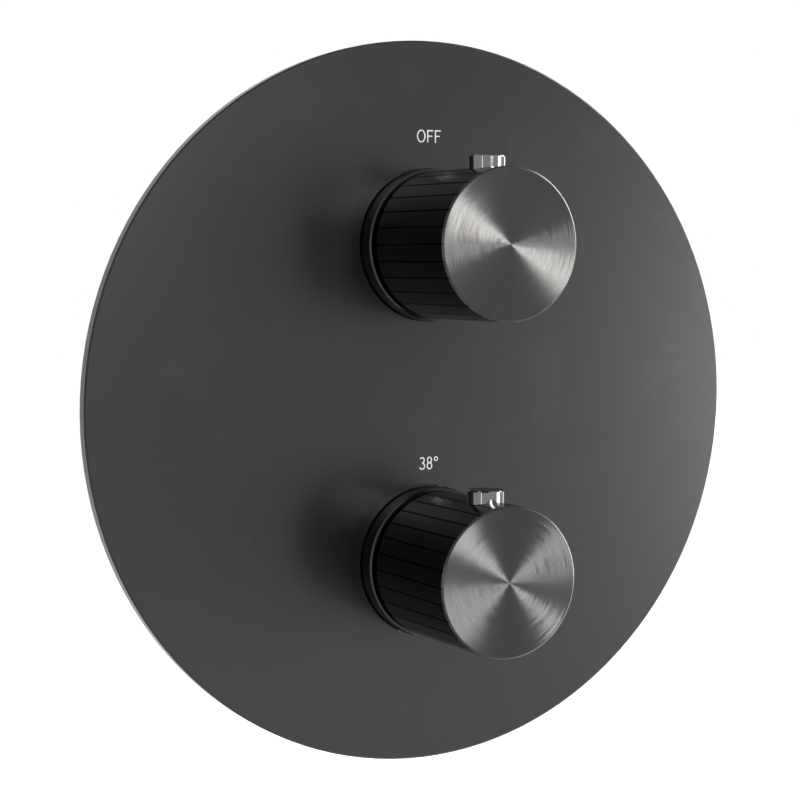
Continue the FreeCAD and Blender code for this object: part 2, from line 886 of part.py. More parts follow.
def flow_spindle():
    """Turns the upper ceramic disc by a cross bar."""
    bar_rear = size.flow_rear - size.disc_wall - size.disc_gap - size.disc_wall + size.driver_dog
    bar_front = bar_rear - size.driver_wall - size.driver_dog
    neck = size.driver_neck
    corners = [(0, -bar_front), (neck, -bar_front), (neck, -size.spindle_flange_rear)]
    body = turned("flow_spindle", corners + spindle_corners(), UPPER)
    drive_hexagon(body)
    sketch = new_sketch(body, "XZ_Plane", bar_rear)
    half_length = disc_radius - size.driver_inset
    half_width = size.driver_width / 2
    ends = [(half_length, half_width), (-half_length, half_width)]
    draw_outline(sketch, ends + [(-half_length, -half_width), (half_length, -half_width)])
    pad(body, sketch, size.driver_wall + size.driver_dog, reverse=True)


def windows(body, port):
    """A pair of slots, cut straight through the wall of a cartridge at one of its ports."""
    sketch = new_sketch(body, "YZ_Plane")
    low, high = -port - size.port_window / 2, -port + size.port_window / 2
    half = size.window_width / 2
    draw_outline(sketch, [(low, -half), (high, -half), (high, half), (low, half)])
    pocket(body, sketch, (size.cartridge_radius + size.cut_over) * 2, middle=True)


def housing_corners(bore, rear, grooves):
    """The outer wall of a cartridge from front to rear, with a groove for each ring."""
    radius = size.cartridge_radius
    depth = radius - size.seal_wire
    corners = [(bore, -size.cartridge_front), (radius, -size.cartridge_front)]
    for centre in grooves:
        low, high = -centre - size.seal_wire, -centre + size.seal_wire
        corners += [(radius, high), (depth, high), (depth, low), (radius, low)]
    return corners + [(radius, -rear)]


def temperature_housing():
    """Closed at the rear. Front windows give mixed water, the next take hot and the last cold."""
    floor = size.thermo_floor - size.thermo_rear
    corners = housing_corners(thermo_bore, size.thermo_rear, thermo_grooves)
    corners += [(0, -size.thermo_rear), (0, floor), (thermo_bore, floor)]
    body = turned("temperature_housing", corners, LOWER)
    for port in (size.mixed_port, size.hot_port, size.cold_port):
        windows(body, port)


def flow_housing():
    """Open at the rear, where the ceramic discs lie. Its windows take the mixed water."""
    corners = housing_corners(flow_bore, size.flow_rear, flow_grooves)
    corners += [(flow_bore, -size.flow_rear)]
    body = turned("flow_housing", corners, UPPER)
    windows(body, size.mixed_port)


thermo_grooves = (
    size.mixed_port - size.port_window,
    (size.mixed_port + size.hot_port) / 2,
    (size.hot_port + size.cold_port) / 2,
    size.cold_port + size.port_window,
)
flow_grooves = (size.mixed_port - size.port_window, size.mixed_port + size.port_window)


def cartridge_seals():
    """The rings round both cartridges, each in its groove and flush with the bore of the body."""
    rings = []
    inner = size.cartridge_radius - size.seal_wire + size.fit_gap
    outer = cavity_radius - size.fit_gap
    reach = size.seal_wire - size.fit_gap
    for name, grooves, spot in (("flow", flow_grooves, UPPER), ("thermo", thermo_grooves, LOWER)):
        for i, centre in enumerate(grooves):
            ring = seal_ring(f"{name}_seal_{i}", inner, outer, -centre - reach, -centre + reach, spot)
            rings.append(take_back(ring))
    joined("cartridge_seals", rings)


outlet_ports = [(size.disc_port_offset, 0), (-size.disc_port_offset, 0)]


def plain_disc(radius, rear, front):
    """The outline of a solid disc."""
    return [(0, rear), (radius, rear), (radius, front), (0, front)]


def ceramic_discs():
    """The fixed disc has a port for each outlet. The moving disc has one, below centre when shut."""
    fixed_front = size.flow_rear - size.disc_wall
    moving_rear = fixed_front - size.disc_gap
    moving_front = moving_rear - size.disc_wall
    radius = disc_radius
    through = size.disc_wall + size.cut_over * 2
    fixed = turned("fixed_disc", plain_disc(radius, -size.flow_rear, -fixed_front), UPPER)
    drilled(fixed, outlet_ports, size.disc_port_radius, -size.flow_rear - size.cut_over, through)
    moving = turned("moving_disc", plain_disc(radius, -moving_rear, -moving_front), UPPER)
    port = [(0, -size.disc_port_offset)]
    drilled(moving, port, size.disc_port_radius, -moving_rear - size.cut_over, through)
    slot = new_sketch(moving, "XZ_Plane", moving_front + size.driver_dog + size.fit_gap)
    half_length = radius - size.driver_inset + size.fit_gap * 2
    half_width = size.driver_width / 2 + size.fit_gap * 2
    ends = [(half_length, half_width), (-half_length, half_width)]
    draw_outline(slot, ends + [(-half_length, -half_width), (half_length, -half_width)])
    pocket(moving, slot, size.driver_dog + size.cut_over)


def seat_seal():
    """Rubber under the fixed disc, with a port for each outlet."""
    front = size.flow_rear + size.fit_gap
    rear = front + size.seat_seal_wall
    body = turned("seat_seal", plain_disc(seat_seal_radius, -rear, -front), UPPER)
    through = size.seat_seal_wall + size.cut_over * 2
    drilled(body, outlet_ports, size.disc_port_radius, -rear - size.cut_over, through)


def drive_nut():
    """Runs on the lead screw and carries the overload spring's push to the wax element."""
    bore = size.lead_screw_radius + size.fit_gap
    outer = thermo_bore - size.seat_gap
    floor = size.lead_screw_rear + size.lead_screw_over
    corners = [
        (0, -size.drive_nut_rear),
        (outer, -size.drive_nut_rear),
        (outer, -size.drive_nut_front),
        (bore, -size.drive_nut_front),
        (bore, -floor),
        (0, -floor),
    ]
    turned("drive_nut", corners, LOWER)


def wax_element():
    """The brass bulb that grows as the mixed water warms, with its push pin in front."""
    flange_rear = size.element_front + size.element_lip
    pin = size.element_pin
    corners = [
        (0, -size.element_rear),
        (size.element_radius - size.element_bevel, -size.element_rear),
        (size.element_radius, -size.element_rear + size.element_bevel),
        (size.element_radius, -flange_rear),
        (size.element_flange, -flange_rear),
        (size.element_flange, -size.element_front),
        (pin, -size.element_front),
        (pin, -size.drive_nut_rear - size.seat_gap),
        (0, -size.drive_nut_rear - size.seat_gap),
    ]
    turned("wax_element", corners, LOWER)


def mixing_piston():
    """The shuttle between the hot and the cold windows, on the wax element's bulb."""
    bore = size.element_radius + size.fit_gap
    ring_bore = piston_radius - size.piston_wall
    hub = bore + size.piston_hub_wall
    centre = (size.piston_front + size.piston_rear) / 2
    web, reach = size.piston_web_reach, size.piston_hub_reach
    corners = [
        (bore, -centre - reach),
        (hub, -centre - reach),
        (hub, -centre - web),
        (ring_bore, -centre - web),
        (ring_bore, -size.piston_rear),
        (piston_radius, -size.piston_rear),
        (piston_radius, -size.piston_front),
        (ring_bore, -size.piston_front),
        (ring_bore, -centre + web),
        (hub, -centre + web),
        (hub, -centre + reach),
        (bore, -centre + reach),
    ]
    body = turned("mixing_piston", corners, LOWER)
    middle = (hub + ring_bore) / 2
    radius = (ring_bore - hub) / 2 - size.hole_land
    cut = drilled(body, [(middle, 0)], radius, -centre - web - size.cut_over, (web + size.cut_over) * 2)
    around(body, cut, size.piston_holes)


def thermostat_springs():
    """The overload spring in front of the element, and the return spring behind the piston."""
    outward = FreeCAD.Rotation(FreeCAD.Vector(1, 0, 0), 90)
    gap = size.fit_gap
    length = size.element_front - size.drive_nut_rear - gap * 2
    spot = (0, size.element_front - gap, -size.axis_height)
    radius = size.element_flange - size.overload_inset
    turns = THERMOSTAT_SPRING_TURNS
    spring("overload_spring", size.coarse_wire, radius, length, turns, spot, outward)
    floor = size.thermo_rear - size.thermo_floor
    length = floor - size.piston_rear - gap * 2
    spot = (0, floor - gap, -size.axis_height)
    radius = piston_radius - size.return_inset
    spring("return_spring", size.coarse_wire, radius, length, turns, spot, outward)


# ---------------------------------------------------------------- brass body

def rod(radius, start, along, length):
    """A cylinder from start along X, Y or Z, or the opposite way when length is given as negative."""
    item = doc.addObject("Part::Cylinder", "rod")
    item.setExpression("Radius", plain(radius))
    item.setExpression("Height", plain(length))
    rotation = {
        "+X": FreeCAD.Rotation(FreeCAD.Vector(0, 1, 0), 90),
        "-X": FreeCAD.Rotation(FreeCAD.Vector(0, 1, 0), -90),
        "+Y": FreeCAD.Rotation(FreeCAD.Vector(1, 0, 0), -90),
        "+Z": FreeCAD.Rotation(),
    }[along]
    settle(item, start, rotation)
    return item


def body_metal():
    """Two barrels with towers, the duct between them, and the tubes of the four ports."""
    high, low = size.axis_height, -size.axis_height
    shapes = []
    for level in (high, low):
        deep = size.barrel_rear - size.barrel_front
        shapes.append(rod(barrel_radius, (0, size.barrel_front, level), "+Y", deep))
        shapes.append(rod(tower_radius, (0, -size.tower_front, level), "+Y", size.tower_front + deep))
    foot = (0, size.mixed_port + size.duct_shift, low)
    shapes.append(rod(size.duct_radius, foot, "+Z", size.axis_height * 2))
    for along in ("+X", "-X"):
        shapes.append(rod(size.port_radius, (0, size.inlet_depth, low), along, size.port_reach))
    shapes.append(rod(size.port_radius, (0, size.outlet_depth, high), "+X", size.port_reach))
    shapes.append(rod(size.port_radius, (0, size.outlet_depth, high), "+Z", size.top_reach))
    metal = doc.addObject("Part::MultiFuse", "body_metal")
    metal.Shapes = shapes
    return metal


def body_hollows():
    """The cartridge bores, the mixed water duct and the passages of the four ports."""
    high, low = size.axis_height, -size.axis_height
    thread = size.port_thread_radius
    over = size.cut_over
    inner_end = size.port_reach - size.port_thread_length
    shapes = []
    for level, rear in ((high, flow_cavity_rear), (low, thermo_cavity_rear)):
        start = (0, -size.tower_front, level)
        shapes.append(rod(cavity_radius, start, "+Y", size.tower_front + rear))
        shapes.append(rod(nut_thread + size.fit_gap, start, "+Y", size.tower_front + size.nut_rear))
    shapes.append(rod(size.duct_bore, (0, size.mixed_port, low), "+Z", size.axis_height * 2))
    for along, side, shift in (("+X", 1, 1), ("-X", -1, -1)):
        mouth = (inner_end * side, size.inlet_depth, low)
        seat = (size.check_bore_inner * side, size.inlet_depth, low)
        port = (0, size.inlet_depth + size.inlet_bore_shift * shift, low)
        shapes.append(rod(thread, mouth, along, size.port_thread_length + over))
        shapes.append(rod(size.check_bore, seat, along, inner_end))
        shapes.append(rod(size.inlet_bore, port, along, size.check_bore_inner + over))
    deep, port = size.outlet_bore_depth, size.disc_port_offset
    drill = size.disc_port_radius
    gallery = drill + size.gallery_wider
    start = size.gallery_start
    for side in (1, -1):
        floor = (port * side, flow_cavity_rear - over, high)
        shapes.append(rod(drill, floor, "+Y", deep - flow_cavity_rear + over * 2))
    shapes.append(rod(gallery, (port - start, deep, high), "+X", inner_end - port + start + over))
    mouth = (inner_end, size.outlet_depth, high)
    shapes.append(rod(thread, mouth, "+X", size.port_thread_length + over))
    top_inner = size.top_reach - size.port_thread_length
    shapes.append(rod(gallery, (-port, deep, high - start), "+Z", top_inner + start + over))
    mouth = (0, size.outlet_depth, high + top_inner)
    shapes.append(rod(thread, mouth, "+Z", size.port_thread_length + over))
    for spot in screw_spots():
        length = size.screw_bite + size.screw_hole_over + over
        shapes.append(rod(size.screw_radius + size.fit_gap, spot, "+Y", length))
    return shapes


def screw_spots():
    """Where the tips of the four bracket screws end, one pair in each barrel."""
    tip = size.barrel_rear - size.screw_bite - size.screw_hole_over
    return [(size.screw_offset * x, tip, size.axis_height * z) for x in (-1, 1) for z in (-1, 1)]


def valve_body():
    """The brass casting, machined one hollow at a time."""
    item = body_metal()
    for hollow in body_hollows():
        machined = doc.addObject("Part::Cut", "machined")
        machined.Base = item
        machined.Tool = hollow
        item = machined
    item.Label = "valve_body"
    parts.append(item)
    doc.recompute()


# ---------------------------------------------------------------- check valves and filters

def check_valve(side, rotation, sign):
    """One non-return valve, pressed into the inlet. Water lifts the poppet inwards off its seat."""
    spot = (0, size.inlet_depth, -size.axis_height)
    outer = size.check_bore - size.seat_gap
    seat = size.check_outer - size.check_seat_wall
    spider_end = size.check_spider + size.check_spider_wall
    corners = [
        (size.check_throat, size.check_inner),
        (outer, size.check_inner),
        (outer, size.check_outer),
        (size.check_seat_radius, size.check_outer),
        (size.check_seat_radius, seat),
        (size.check_throat, seat),
        (size.check_throat, spider_end),
        (size.poppet_stem + size.seat_gap, spider_end),
        (size.poppet_stem + size.seat_gap, size.check_spider),
        (size.check_throat, size.check_spider),
    ]
    housing = turned(f"{side}_check_housing", corners, spot, rotation)
    centre = (size.check_throat + size.poppet_stem) / 2
    start, through = size.check_spider - size.cut_over, size.check_spider_wall + size.cut_over * 2
    cut = drilled(housing, [(centre, 0)], size.check_spider_hole, start, through)
    around(housing, cut, size.check_spider_holes)
    poppet_rear = seat - size.poppet_wall
    stem_end = size.check_spider - size.poppet_stem_over
    head = [
        (0, stem_end),
        (size.poppet_stem, stem_end),
        (size.poppet_stem, poppet_rear),
        (size.poppet_radius, poppet_rear),
        (size.poppet_radius, seat - size.fit_gap),
        (0, seat - size.fit_gap),
    ]
    turned(f"{side}_poppet", head, spot, rotation)
    length = poppet_rear - spider_end - size.fit_gap * 2
    start = (sign * (spider_end + size.fit_gap), size.inlet_depth, -size.axis_height)
    tilt = FreeCAD.Rotation(FreeCAD.Vector(0, 1, 0), 90 * sign)
    radius, turns = size.check_spring_radius, CHECK_SPRING_TURNS
    spring(f"{side}_check_spring", size.fine_wire, radius, length, turns, start, tilt)


def inlet_filters():
    """A pierced disc in front of each check valve."""
    rear = size.check_outer + size.seat_gap
    radius = size.check_bore - size.seat_gap
    front = rear + size.filter_wall
    filters = []
    for name, rotation in (("filter_hot", TO_LEFT), ("filter_cold", TO_RIGHT)):
        corners = [(0, rear), (radius, rear), (radius, front), (0, front)]
        disc = turned(name, corners, (0, size.inlet_depth, -size.axis_height), rotation)
        through = size.filter_wall + size.cut_over * 2
        spot = [(size.filter_circle, 0)]
        cut = drilled(disc, spot, size.filter_hole, rear - size.cut_over, through)
        around(disc, cut, size.filter_holes)
        filters.append(take_back(disc))
    joined("inlet_filters", filters)


# ---------------------------------------------------------------- mounting bracket

def slot_outline(sketch, centre):
    """A straight slot along the sketch's X with round ends."""
    radius = size.slot_radius
    reach = size.slot_length / 2 - radius
    x, y = centre
    mid_x, mid_y, r, run = number(x), number(y), number(radius), number(reach)
    up = FreeCAD.Vector(0, 0, 1)
    quarter = math.pi / 2
    right_circle = Part.Circle(FreeCAD.Vector(mid_x + run, mid_y, 0), up, r)
    left_circle = Part.Circle(FreeCAD.Vector(mid_x - run, mid_y, 0), up, r)
    right = Part.ArcOfCircle(right_circle, -quarter, quarter)
    left = Part.ArcOfCircle(left_circle, quarter, 3 * quarter)
    a = sketch.addGeometry(right, False)
    b = sketch.addGeometry(left, False)
    top = sketch.addGeometry(Part.LineSegment(right.EndPoint, left.StartPoint), False)
    base = sketch.addGeometry(Part.LineSegment(left.EndPoint, right.StartPoint), False)
    for first, second in ((a, top), (top, b), (b, base), (base, a)):
        sketch.addConstraint(Sketcher.Constraint("Tangent", first, 2, second, 1))
    hold_point(sketch, a, 3, (x + reach, y))
    hold_point(sketch, b, 3, (x - reach, y))
    tie(sketch, "Radius", a, to=radius)


def mounting_bracket():
    """The steel plate behind the body, with a slot near each corner for the wall screws."""
    body = new_body("mounting_bracket")
    blank = new_sketch(body, "XZ_Plane", -size.barrel_rear)
    half_width, half_height = size.bracket_width / 2, size.bracket_height / 2
    ends = [(half_width, half_height), (-half_width, half_height)]
    draw_outline(blank, ends + [(-half_width, -half_height), (half_width, -half_height)])
    plate = pad(body, blank, size.bracket_wall, reverse=True)
    upright = [f"Edge{i}" for i, edge in enumerate(plate.Shape.Edges, 1) if along_y(edge)]
    corner = body.newObject("PartDesign::Fillet", "bracket_corner")
    corner.Base = (plate, upright)
    corner.setExpression("Radius", size.bracket_corner.text)
    doc.recompute()
    holes = new_sketch(body, "XZ_Plane", -size.barrel_rear - size.bracket_wall - size.cut_over)
    for x in (-0.5, 0.5):
        for z in (-0.5, 0.5):
            slot_outline(holes, (size.slot_spacing_x * x, size.slot_spacing_z * z))
    for x in (-1, 1):
        for z in (-1, 1):
            centre = (size.screw_offset * x, size.axis_height * z)
            draw_circle(holes, centre, size.screw_radius + size.seat_gap)
    pocket(body, holes, size.bracket_wall + size.cut_over * 2, reverse=True)
    settle(body, (0, 0, 0), UNTURNED)


def along_y(edge):
    """True for a straight edge square to the plate."""
    ends = [vertex.Point for vertex in edge.Vertexes]
    return abs(ends[0].y - ends[-1].y) > 0.5


def bracket_screws():
    """Four pan head screws that hold the bracket to the barrels."""
    tip = size.barrel_rear - size.screw_bite
    under = size.barrel_rear + size.bracket_wall + size.fit_gap
    screws = []
    for i, (x, _, z) in enumerate(screw_spots()):
        corners = [
            (0, tip),
            (size.screw_radius, tip),
            (size.screw_radius, under),
            (size.screw_head, under),
            (size.screw_head - size.screw_head_slope, under + size.screw_head_wall),
            (0, under + size.screw_head_wall),
        ]
        screws.append(take_back(turned(f"bracket_screw_{i}", corners, (x, 0, z), UNTURNED)))
    joined("bracket_screws", screws)


# ---------------------------------------------------------------- assembly

def build():
    cover_plate()
    wall_gasket()
    base_sleeve("sleeve_upper", UPPER)
    base_sleeve("sleeve_lower", LOWER)
    sleeve_seals()
    controls = (("flow", UPPER, size.axis_height), ("temperature", LOWER, -size.axis_height))
    for name, spot, height in controls:
        knob(f"{name}_knob", spot)
        knob_insert(f"{name}_insert", spot)
        grub_screw(f"{name}_grub_screw", height)
        button(f"{name}_button", height)
        catch(f"{name}_catch", spot)
        button_spring(f"{name}_button_spring", height)
        cartridge_nut(f"{name}_cartridge_nut", spot)
    stop_rings()
    stop_ring_clips()
    flow_spindle()
    temperature_spindle()
    flow_housing()
    temperature_housing()
    cartridge_seals()
    ceramic_discs()
    seat_seal()
    drive_nut()
    wax_element()
    mixing_piston()
    thermostat_springs()
    valve_body()
    check_valve("hot", TO_LEFT, -1)
    check_valve("cold", TO_RIGHT, 1)
    inlet_filters()
    mounting_bracket()
    bracket_screws()
    doc.recompute()


def check_document():
    """Stops on any failed object or unusable shape."""
    for item in doc.Objects:
        if "Invalid" in item.State or "Error" in item.State:
            raise ValueError(f"{item.Label} did not build: {item.State}")
    for item in parts:
        if item.Shape.isNull() or not item.Shape.isValid() or not item.Shape.Solids:
            raise ValueError(f"{item.Label} has no sound solid")


def write_parts():
    os.makedirs("parts", exist_ok=True)
    for item in parts:
        item.Shape.exportStep(os.path.join("parts", item.Label + ".step"))


build()
check_document()
write_parts()
print(f"{len(parts)} parts written")
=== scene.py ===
import json
import math

import bmesh
import bpy
from bpy.props import FloatProperty, FloatVectorProperty, PointerProperty
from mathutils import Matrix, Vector


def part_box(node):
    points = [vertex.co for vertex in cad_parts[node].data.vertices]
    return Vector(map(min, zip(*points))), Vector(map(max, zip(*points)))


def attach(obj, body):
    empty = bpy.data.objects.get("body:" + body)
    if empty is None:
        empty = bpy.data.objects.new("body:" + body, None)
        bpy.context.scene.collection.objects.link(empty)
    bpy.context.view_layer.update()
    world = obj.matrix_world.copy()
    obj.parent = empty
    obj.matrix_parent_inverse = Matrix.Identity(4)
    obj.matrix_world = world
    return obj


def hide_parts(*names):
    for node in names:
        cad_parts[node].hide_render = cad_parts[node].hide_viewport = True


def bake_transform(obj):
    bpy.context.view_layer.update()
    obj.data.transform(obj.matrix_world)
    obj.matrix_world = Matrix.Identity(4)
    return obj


bl_info = {
    "name": "Shower Valve Looks",
    "version": (1, 0, 0),
    "blender": (4, 5, 0),
    "location": "3D View > Sidebar > Shower Valve",
    "description": "Finishes, legends, threads and a photo stage for a two-knob shower valve",
    "category": "Object",
}

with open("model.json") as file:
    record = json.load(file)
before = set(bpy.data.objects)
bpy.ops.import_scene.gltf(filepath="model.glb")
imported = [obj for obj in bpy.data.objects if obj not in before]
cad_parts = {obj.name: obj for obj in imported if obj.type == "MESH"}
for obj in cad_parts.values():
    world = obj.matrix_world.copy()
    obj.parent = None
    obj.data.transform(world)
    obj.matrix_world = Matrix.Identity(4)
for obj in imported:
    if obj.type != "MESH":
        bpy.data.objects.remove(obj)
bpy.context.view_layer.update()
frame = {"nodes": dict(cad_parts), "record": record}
NODES = frame["nodes"]

MM = 0.001

# Places on the valve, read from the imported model. The knobs' axes lie AXIS_HEIGHT above and below
# the middle of the plate, and BUTTON_TOP is measured from them.
PLATE_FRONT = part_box("cover_plate")[0].y
KNOB_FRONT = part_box("flow_knob")[0].y
AXIS_HEIGHT = (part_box("flow_knob")[0].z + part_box("flow_knob")[1].z) / 2
BUTTON_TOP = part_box("flow_button")[1].z - AXIS_HEIGHT
BUTTON_DEPTH = (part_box("flow_button")[0].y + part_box("flow_button")[1].y) / 2
BODY_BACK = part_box("valve_body")[1].y
PORT_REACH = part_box("valve_body")[1].x
TOP_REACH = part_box("valve_body")[1].z

# The two turned towers of the body: their radius, and how deep they run into the casting.
TOWER_RADIUS = 17.8 * MM
TOWER_ROOT = 19.8 * MM

# The blasted grain under the gunmetal coating: grains in a metre, and their height.
GRAIN_SCALE = 5200.0
GRAIN_HEIGHT = 0.002 * MM

# Colours of the pieces behind the plate, and of the stage.
WHITE_ACETAL = (0.78, 0.78, 0.755)
DARK_ACETAL = (0.032, 0.032, 0.034)
ALUMINA = (0.80, 0.775, 0.73)
DRAWN_WIRE = (0.47, 0.475, 0.49)
STAINLESS = (0.52, 0.525, 0.535)
RING_RUBBER = (0.022, 0.022, 0.023)
CLOSED_FOAM = (0.055, 0.055, 0.057)
WHITE = (1.0, 1.0, 1.0)
LAMP_WHITE = (1.0, 0.985, 0.965)
FLOOR_GREY = (0.8, 0.8, 0.8)


# ---------------------------------------------------------------- settings


class FinishSettings(bpy.types.PropertyGroup):
    """Colours and gloss of the valve's finishes."""

    gunmetal: FloatVectorProperty(
        name="Gunmetal", description="Coating on the cover plate and the sleeves",
        subtype="COLOR", size=3, min=0.0, max=1.0, default=(0.0345, 0.0352, 0.0363))
    knob_gunmetal: FloatVectorProperty(
        name="Knob gunmetal", description="Coating on the knobs, a little paler than the plate",
        subtype="COLOR", size=3, min=0.0, max=1.0, default=(0.042, 0.0418, 0.0414))
    plate_roughness: FloatProperty(
        name="Plate roughness", description="How satin the cover plate is",
        subtype="FACTOR", min=0.0, max=1.0, default=0.275)
    sleeve_roughness: FloatProperty(
        name="Sleeve roughness", description="How satin the rings behind the knobs are",
        subtype="FACTOR", min=0.0, max=1.0, default=0.26)
    ring_slope: FloatProperty(
        name="Ring slope",
        description="Slope of the flanks of the turned rings on the knobs' faces",
        min=0.0, max=1.0, default=0.315)
    chrome: FloatVectorProperty(
        name="Chrome", description="Plating on the push buttons",
        subtype="COLOR", size=3, min=0.0, max=1.0, default=(0.17, 0.172, 0.176))
    turned_brass: FloatVectorProperty(
        name="Turned brass", description="Nuts, spindles and machined faces of the body",
        subtype="COLOR", size=3, min=0.0, max=1.0, default=(0.78, 0.57, 0.29))
    cast_brass: FloatVectorProperty(
        name="Cast brass", description="Skin of the body's casting",
        subtype="COLOR", size=3, min=0.0, max=1.0, default=(0.56, 0.40, 0.20))
    zinc: FloatVectorProperty(
        name="Zinc", description="Plating on the bracket and its screws",
        subtype="COLOR", size=3, min=0.0, max=1.0, default=(0.47, 0.485, 0.51))
    ink: FloatVectorProperty(
        name="Ink", description="Legends on the cover plate",
        subtype="COLOR", size=3, min=0.0, max=1.0, default=(0.68, 0.675, 0.66))


class LegendSettings(bpy.types.PropertyGroup):
    """The two legends on the cover plate."""

    stroke: FloatProperty(
        name="Stroke", description="Width of the letters' strokes",
        unit="LENGTH", min=0.0, default=0.35 * MM)
    film: FloatProperty(
        name="Film", description="Thickness of the printed film",
        unit="LENGTH", min=0.0, default=0.03 * MM)
    off_base: FloatProperty(
        name="OFF base", description="Height of the foot of the upper legend",
        unit="LENGTH", default=72.25 * MM)
    off_height: FloatProperty(
        name="OFF height", description="Height of the upper legend's letters",
        unit="LENGTH", min=0.0, default=3.40 * MM)
    figure_base: FloatProperty(
        name="Figure base", description="Height of the foot of the lower legend",
        unit="LENGTH", default=-18.48 * MM)
    figure_height: FloatProperty(
        name="Figure height", description="Height of the lower legend's figures",
        unit="LENGTH", min=0.0, default=3.60 * MM)


class ThreadSettings(bpy.types.PropertyGroup):
    """The pipe threads in the four ports."""

    port_radius: FloatProperty(
        name="Port radius", description="Radius of the bore that the thread stands in",
        unit="LENGTH", min=0.0, default=9.5 * MM)
    port_pitch: FloatProperty(
        name="Port pitch", description="Advance of the port thread in one turn",
        unit="LENGTH", min=0.0, default=1.814 * MM)
    port_depth: FloatProperty(
        name="Port depth", description="How far the thread stands in from the bore",
        unit="LENGTH", min=0.0, default=0.55 * MM)
    port_length: FloatProperty(
        name="Port length", description="Length of thread in each port",
        unit="LENGTH", min=0.0, default=13.0 * MM)
    port_mouth: FloatProperty(
        name="Port mouth", description="Plain length between a port's mouth and its thread",
        unit="LENGTH", min=0.0, default=1.2 * MM)


class StageSettings(bpy.types.PropertyGroup):
    """Camera, lamps, floor and world."""

    camera_place: FloatVectorProperty(
        name="Camera place", description="Where the camera stands",
        subtype="XYZ", unit="LENGTH", size=3, default=(-0.2668, -0.48945, 0.04121))
    camera_turn: FloatVectorProperty(
        name="Camera turn", description="Tilt, roll and turn of the camera",
        subtype="EULER", unit="ROTATION", size=3,
        default=(math.radians(85.85), 0.0, math.radians(-27.97)))
    lens: FloatProperty(
        name="Lens", description="Focal length on a 36 mm sensor, in millimetres",
        min=1.0, default=89.8)
    floor_height: FloatProperty(
        name="Floor height", description="Level of the floor under the valve",
        unit="LENGTH", default=-0.30)
    floor_size: FloatProperty(
        name="Floor size", description="Side of the square floor",
        unit="LENGTH", min=0.1, default=9.0)
    floor_lift: FloatProperty(
        name="Floor lift",
        description="Glow of the floor for the camera and reflections, on top of its lit colour",
        min=0.0, default=0.93)
    ambient: FloatProperty(
        name="Ambient", description="Strength of the world as a light on matt surfaces",
        min=0.0, default=0.10)


# ---------------------------------------------------------------- shader maths


class Value:
    """A number in a shader. Arithmetic on it adds Math nodes."""

    def __init__(self, tree, socket):
        self.tree = tree
        self.socket = socket

    def join(self, operation, *operands):
        """One Math node on values or plain numbers, in their order."""
        node = self.tree.nodes.new("ShaderNodeMath")
        node.operation = operation
        for entry, operand in zip(node.inputs, operands):
            if isinstance(operand, Value):
                self.tree.links.new(operand.socket, entry)
            else:
                entry.default_value = operand
        return Value(self.tree, node.outputs[0])

    def math(self, operation, *others):
        """One Math node on this value and then the others."""
        return self.join(operation, self, *others)

    def __add__(self, other):
        return self.join("ADD", self, other)

    def __radd__(self, other):
        return self.join("ADD", other, self)

    def __sub__(self, other):
        return self.join("SUBTRACT", self, other)

    def __rsub__(self, other):
        return self.join("SUBTRACT", other, self)

    def __mul__(self, other):
        return self.join("MULTIPLY", self, other)

    def __rmul__(self, other):
        return self.join("MULTIPLY", other, self)

    def __truediv__(self, other):
        return self.join("DIVIDE", self, other)

    def __rtruediv__(self, other):
        return self.join("DIVIDE", other, self)

    def __abs__(self):
        return self.join("ABSOLUTE", self)


def distance(across, up):
    """The length of a line from its two components."""
    return (across * across + up * up).math("SQRT")


